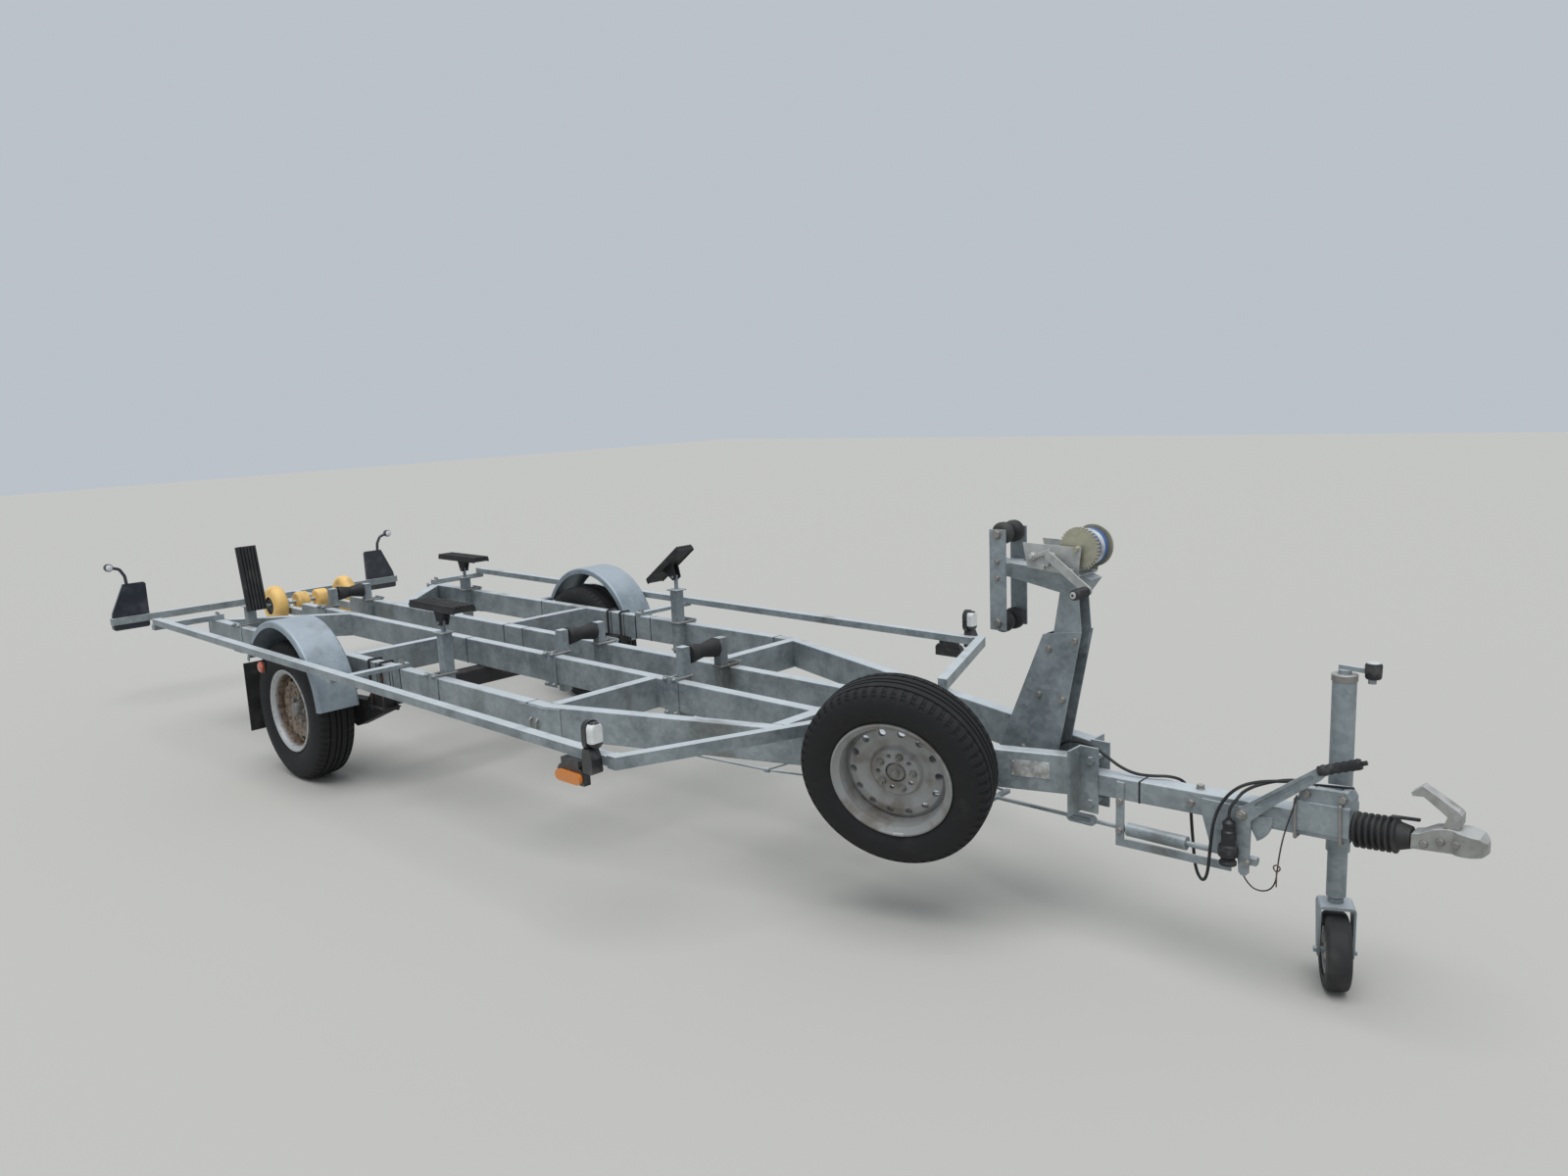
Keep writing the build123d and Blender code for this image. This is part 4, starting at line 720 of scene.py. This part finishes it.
# Lashing ring and rear lamp: a bent bar welded to the right-hand outer rail, and a round red lens on a
# black moulded base that hangs under the side rail by a short strap
ring_path = staple(at(-1877, -694, 518), at(-1877, -706, 510), at(-1875, -708, 468), at(-1839, -708, 468),
                   at(-1837, -706, 510), at(-1837, -694, 518), bend=9)
rods("lashing_ring", [ring_path], 5, FASTENER)
bm = bmesh.new()
block(bm, at(-3540, -980, 577), (22, 5, 40))
block(bm, at(-3540, -984, 547), (56, 12, 56), ease=5)
piece("rear_lamp_base", bm, BLACK_PLASTIC, "chassis")
RED = Finish("red_lens")
RED.cover(RED.mix(RED.noise(12, 3).step(0.3, 0.8) * 0.4, (0.50, 0.09, 0.04), (0.28, 0.05, 0.03)), 0.2, 0,
          RED.waves("Z", 90.0), 0.0008, 0.6)
bm = bmesh.new()
turned(bm, [(25, 0), (25, 8), (21, 13), (0, 15)], facing(at(-3540, -989, 547), (0, -1, 0)))
piece("rear_lamp_lens", bm, RED, "chassis")

# Marker lamps: black moulded lamps on rubber boots at the front ends of the side rails, with a white lens
# that faces forward, and side lamps hung behind them with an amber one. The lenses are ribbed and smeared.
LAMP_X = -1085
WHITE_LOW, WHITE_HIGH = 0.648, 0.706
AMBER_OUT = 1.0245
LAMP = Finish("marker_lamp")
smears = LAMP.noise(35, 5)
height = LAMP.axis("Z")
white = (LAMP.axis("X") > at(LAMP_X - 1.5, 0, 0).x) * (height > WHITE_LOW) * (height < WHITE_HIGH)
amber = (abs(LAMP.axis("Y")) > AMBER_OUT) * (LAMP.axis("X") < at(LAMP_X - 40, 0, 0).x)
shell = LAMP.mix(smears.step(0.5, 0.75), (0.012, 0.012, 0.014), (0.06, 0.058, 0.055))
shell = LAMP.mix(amber, shell, (0.62, 0.20, 0.03))
clear = LAMP.mix(smears, (0.78, 0.79, 0.78), (0.5, 0.51, 0.5))
LAMP.cover(LAMP.mix(white, shell, clear), smears * 0.3 + 0.15, 0, LAMP.waves("Z", 70.0), 0.0006, 0.4)
paint(LAMP, "marker_lamps")

# Spare wheel: a road tyre on a pressed rim in grimy grey paint, held by five nuts round the boss of a
# galvanised stub. A clip-on balance weight sits at the foot of the rim.
GREY = Finish("grey_paint")
grime = GREY.noise(12, 7)
GREY.cover(
    GREY.mix(grime.step(0.46, 0.7) * 0.75, (0.30, 0.305, 0.30), (0.135, 0.11, 0.085)),
    grime * 0.45 + 0.3, 0.2, grime, 0.0006)
paint(GREY, "spare_rim")
paint(ZINC, "spare_carrier")
SPARE_YAW = radians(18)
SPARE_DIP = radians(12)
SPARE = facing(at(-408, -436, 500),
               (sin(SPARE_YAW) * cos(SPARE_DIP), -cos(SPARE_YAW) * cos(SPARE_DIP), -sin(SPARE_DIP)))
SPARE_TYRE_R = 300
SPARE_TYRE_HALF = 85
SPARE_TYRE_DEEP = Matrix.Translation((0, 0, -0.075))
tyre("spare_road_tyre", "spare_tyre", "chassis", SPARE @ SPARE_TYRE_DEEP, SPARE_TYRE_HALF, SPARE_TYRE_R)
bm = bmesh.new()
turned(bm, [(31, -68), (31, -58), (26, -52), (12, -50), (12, -44), (0, -43)], SPARE)
hub_bolts(bm, SPARE, -54, 10, 8)
piece("spare_hub", bm, FASTENER, "chassis")
down = SPARE.to_3x3().inverted() @ Vector((0.05, 0, -1))
foot = SPARE @ Matrix.Rotation(-Vector((1, 0)).angle_signed(down.xy), 4, "Z")
bm = bmesh.new()
block(bm, foot @ Vector((0.184, 0, 0.001)), (8, 36, 9), foot.to_3x3().to_4x4(), 2.5)
piece("wheel_weight", bm, BRIGHT_ZINC, "chassis")

# Light bar and boards: a galvanised bar across the stern, with a lamp cluster under each end and a black
# plate above it. The clusters have ribbed red lenses, and a small clear lamp stands on each bent stalk.
paint(ZINC, "light_bar")
BOARD = Finish("light_board")
film = BOARD.noise(18, 6)
lens = BOARD.axis("X") < at(-5783, 0, 0).x
shell = BOARD.mix(film.step(0.45, 0.8), (0.014, 0.018, 0.030), (0.05, 0.055, 0.065))
red = BOARD.mix(film.step(0.3, 0.8) * 0.5, (0.50, 0.035, 0.02), (0.22, 0.02, 0.015))
BOARD.cover(BOARD.mix(lens, shell, red), film * 0.4 + 0.2, 0, BOARD.waves("Y", 55.0) * lens, 0.0008, 0.3)
paint(BOARD, "light_boards")
CLEAR = Finish("clear_lens")
rings = CLEAR.noise(60, 2)
CLEAR.cover(CLEAR.mix(rings, (0.75, 0.76, 0.76), (0.5, 0.52, 0.53)), 0.15, 0, rings, 0.0006, 0.5)
bm = bmesh.new()
for y in (829, -919):
    turned(bm, [(18, -2), (18, 1), (15, 4), (8, 6), (0, 6.5)], facing(at(-5748, y, 828), (1, 0, 0)))
piece("marker_lenses", bm, CLEAR, "chassis")

# Stern rollers: hollow moulded rollers of yellow rubber, faded and scuffed, with painted shade that makes
# their open ends dark. They turn on one shaft through the galvanised stern frame, with a nut at each end.
STERN_X = -5200
STERN_Z = 548
YELLOW = Finish("yellow_rubber")
marks = YELLOW.noise(16, 6)
# painted shade: the inside of each roller's open end is coloured near black
open_end_shade = (YELLOW.away(at(STERN_X, 0, STERN_Z), (1, 0, 1)) < 0.0525) * (abs(YELLOW.axis("Y")) > 0.178)
yellow = YELLOW.mix(marks.step(0.45, 0.75) * 0.7, (0.78, 0.50, 0.16), (0.42, 0.27, 0.11))
YELLOW.cover(YELLOW.mix(open_end_shade, yellow, (0.02, 0.02, 0.02)), marks * 0.3 + 0.4, 0, YELLOW.noise(180, 2),
             0.0004)
paint(YELLOW, "stern_rollers_right", "stern_rollers_left")
paint(ZINC, "stern_frame")
bm = bmesh.new()
bolts_each_side(bm, 263, ((STERN_X, STERN_Z),), 24, 12)
piece("stern_nuts", bm, FASTENER, "chassis")

# Keel rollers and posts: black rubber rollers between galvanised posts. U-bolts over and under the rail
# hold each post, and those of the bilge pads too, to a back plate with nuts behind.
paint(ZINC, "keel_roller_posts", "bilge_posts")
paint(RUBBER, "keel_roller_front", "keel_roller_middle", "keel_roller_rear")
BILGE = (
    # pad, x, side, post's top
    ("front_right", -2580, -1, 745), ("front_left", -2530, 1, 737),
    ("rear_right", -4550, -1, 668), ("rear_left", -4457, 1, 648),
)
# x, side, post's inner face, its half width, the rail's far face
posts = [(x, side, 82, 20, KEEL_Y + 25) for x in (-1688, -2488, -4680) for side in (-1, 1)]
posts += [(x, side, 598, 22.5, RAIL_Y + 25) for pad, x, side, top in BILGE]
CLAMP_BAR_R = 5
CLAMP_REACH = 67
clamp_paths = []
bm = bmesh.new()
for x, side, inner, half, far in posts:
    near, back = side * (inner - CLAMP_BAR_R), side * (far + 20)
    legs = (x - half - CLAMP_BAR_R, x + half + CLAMP_BAR_R)
    for z in (RAIL_Z - CLAMP_REACH, RAIL_Z + CLAMP_REACH):
        clamp_paths.append(staple(at(legs[0], back, z), at(legs[0], near, z), at(legs[1], near, z),
                                  at(legs[1], back, z)))
        for leg in legs:
            bolt(bm, at(leg, side * (far + 5), z), (0, side, 0), 15, 8)
    block(bm, at(x, side * (far + 2.7), RAIL_Z), (2 * half + 42, 5, 158))
piece("clamp_plates", bm, ZINC, "chassis")
rods("clamp_u_bolts", clamp_paths, CLAMP_BAR_R, FASTENER)

# Bilge pads: ribbed black rubber pads, each tilting on a pin over its post. A small galvanised plate closes
# the top of the post.
BILGE_Y = 620.5
bm = bmesh.new()
for pad, x, side, top in BILGE:
    block(bm, at(x, side * BILGE_Y, top + 3), (74, 66, 5))
    paint(RUBBER, f"bilge_pad_{pad}")
piece("post_caps", bm, ZINC, "chassis")
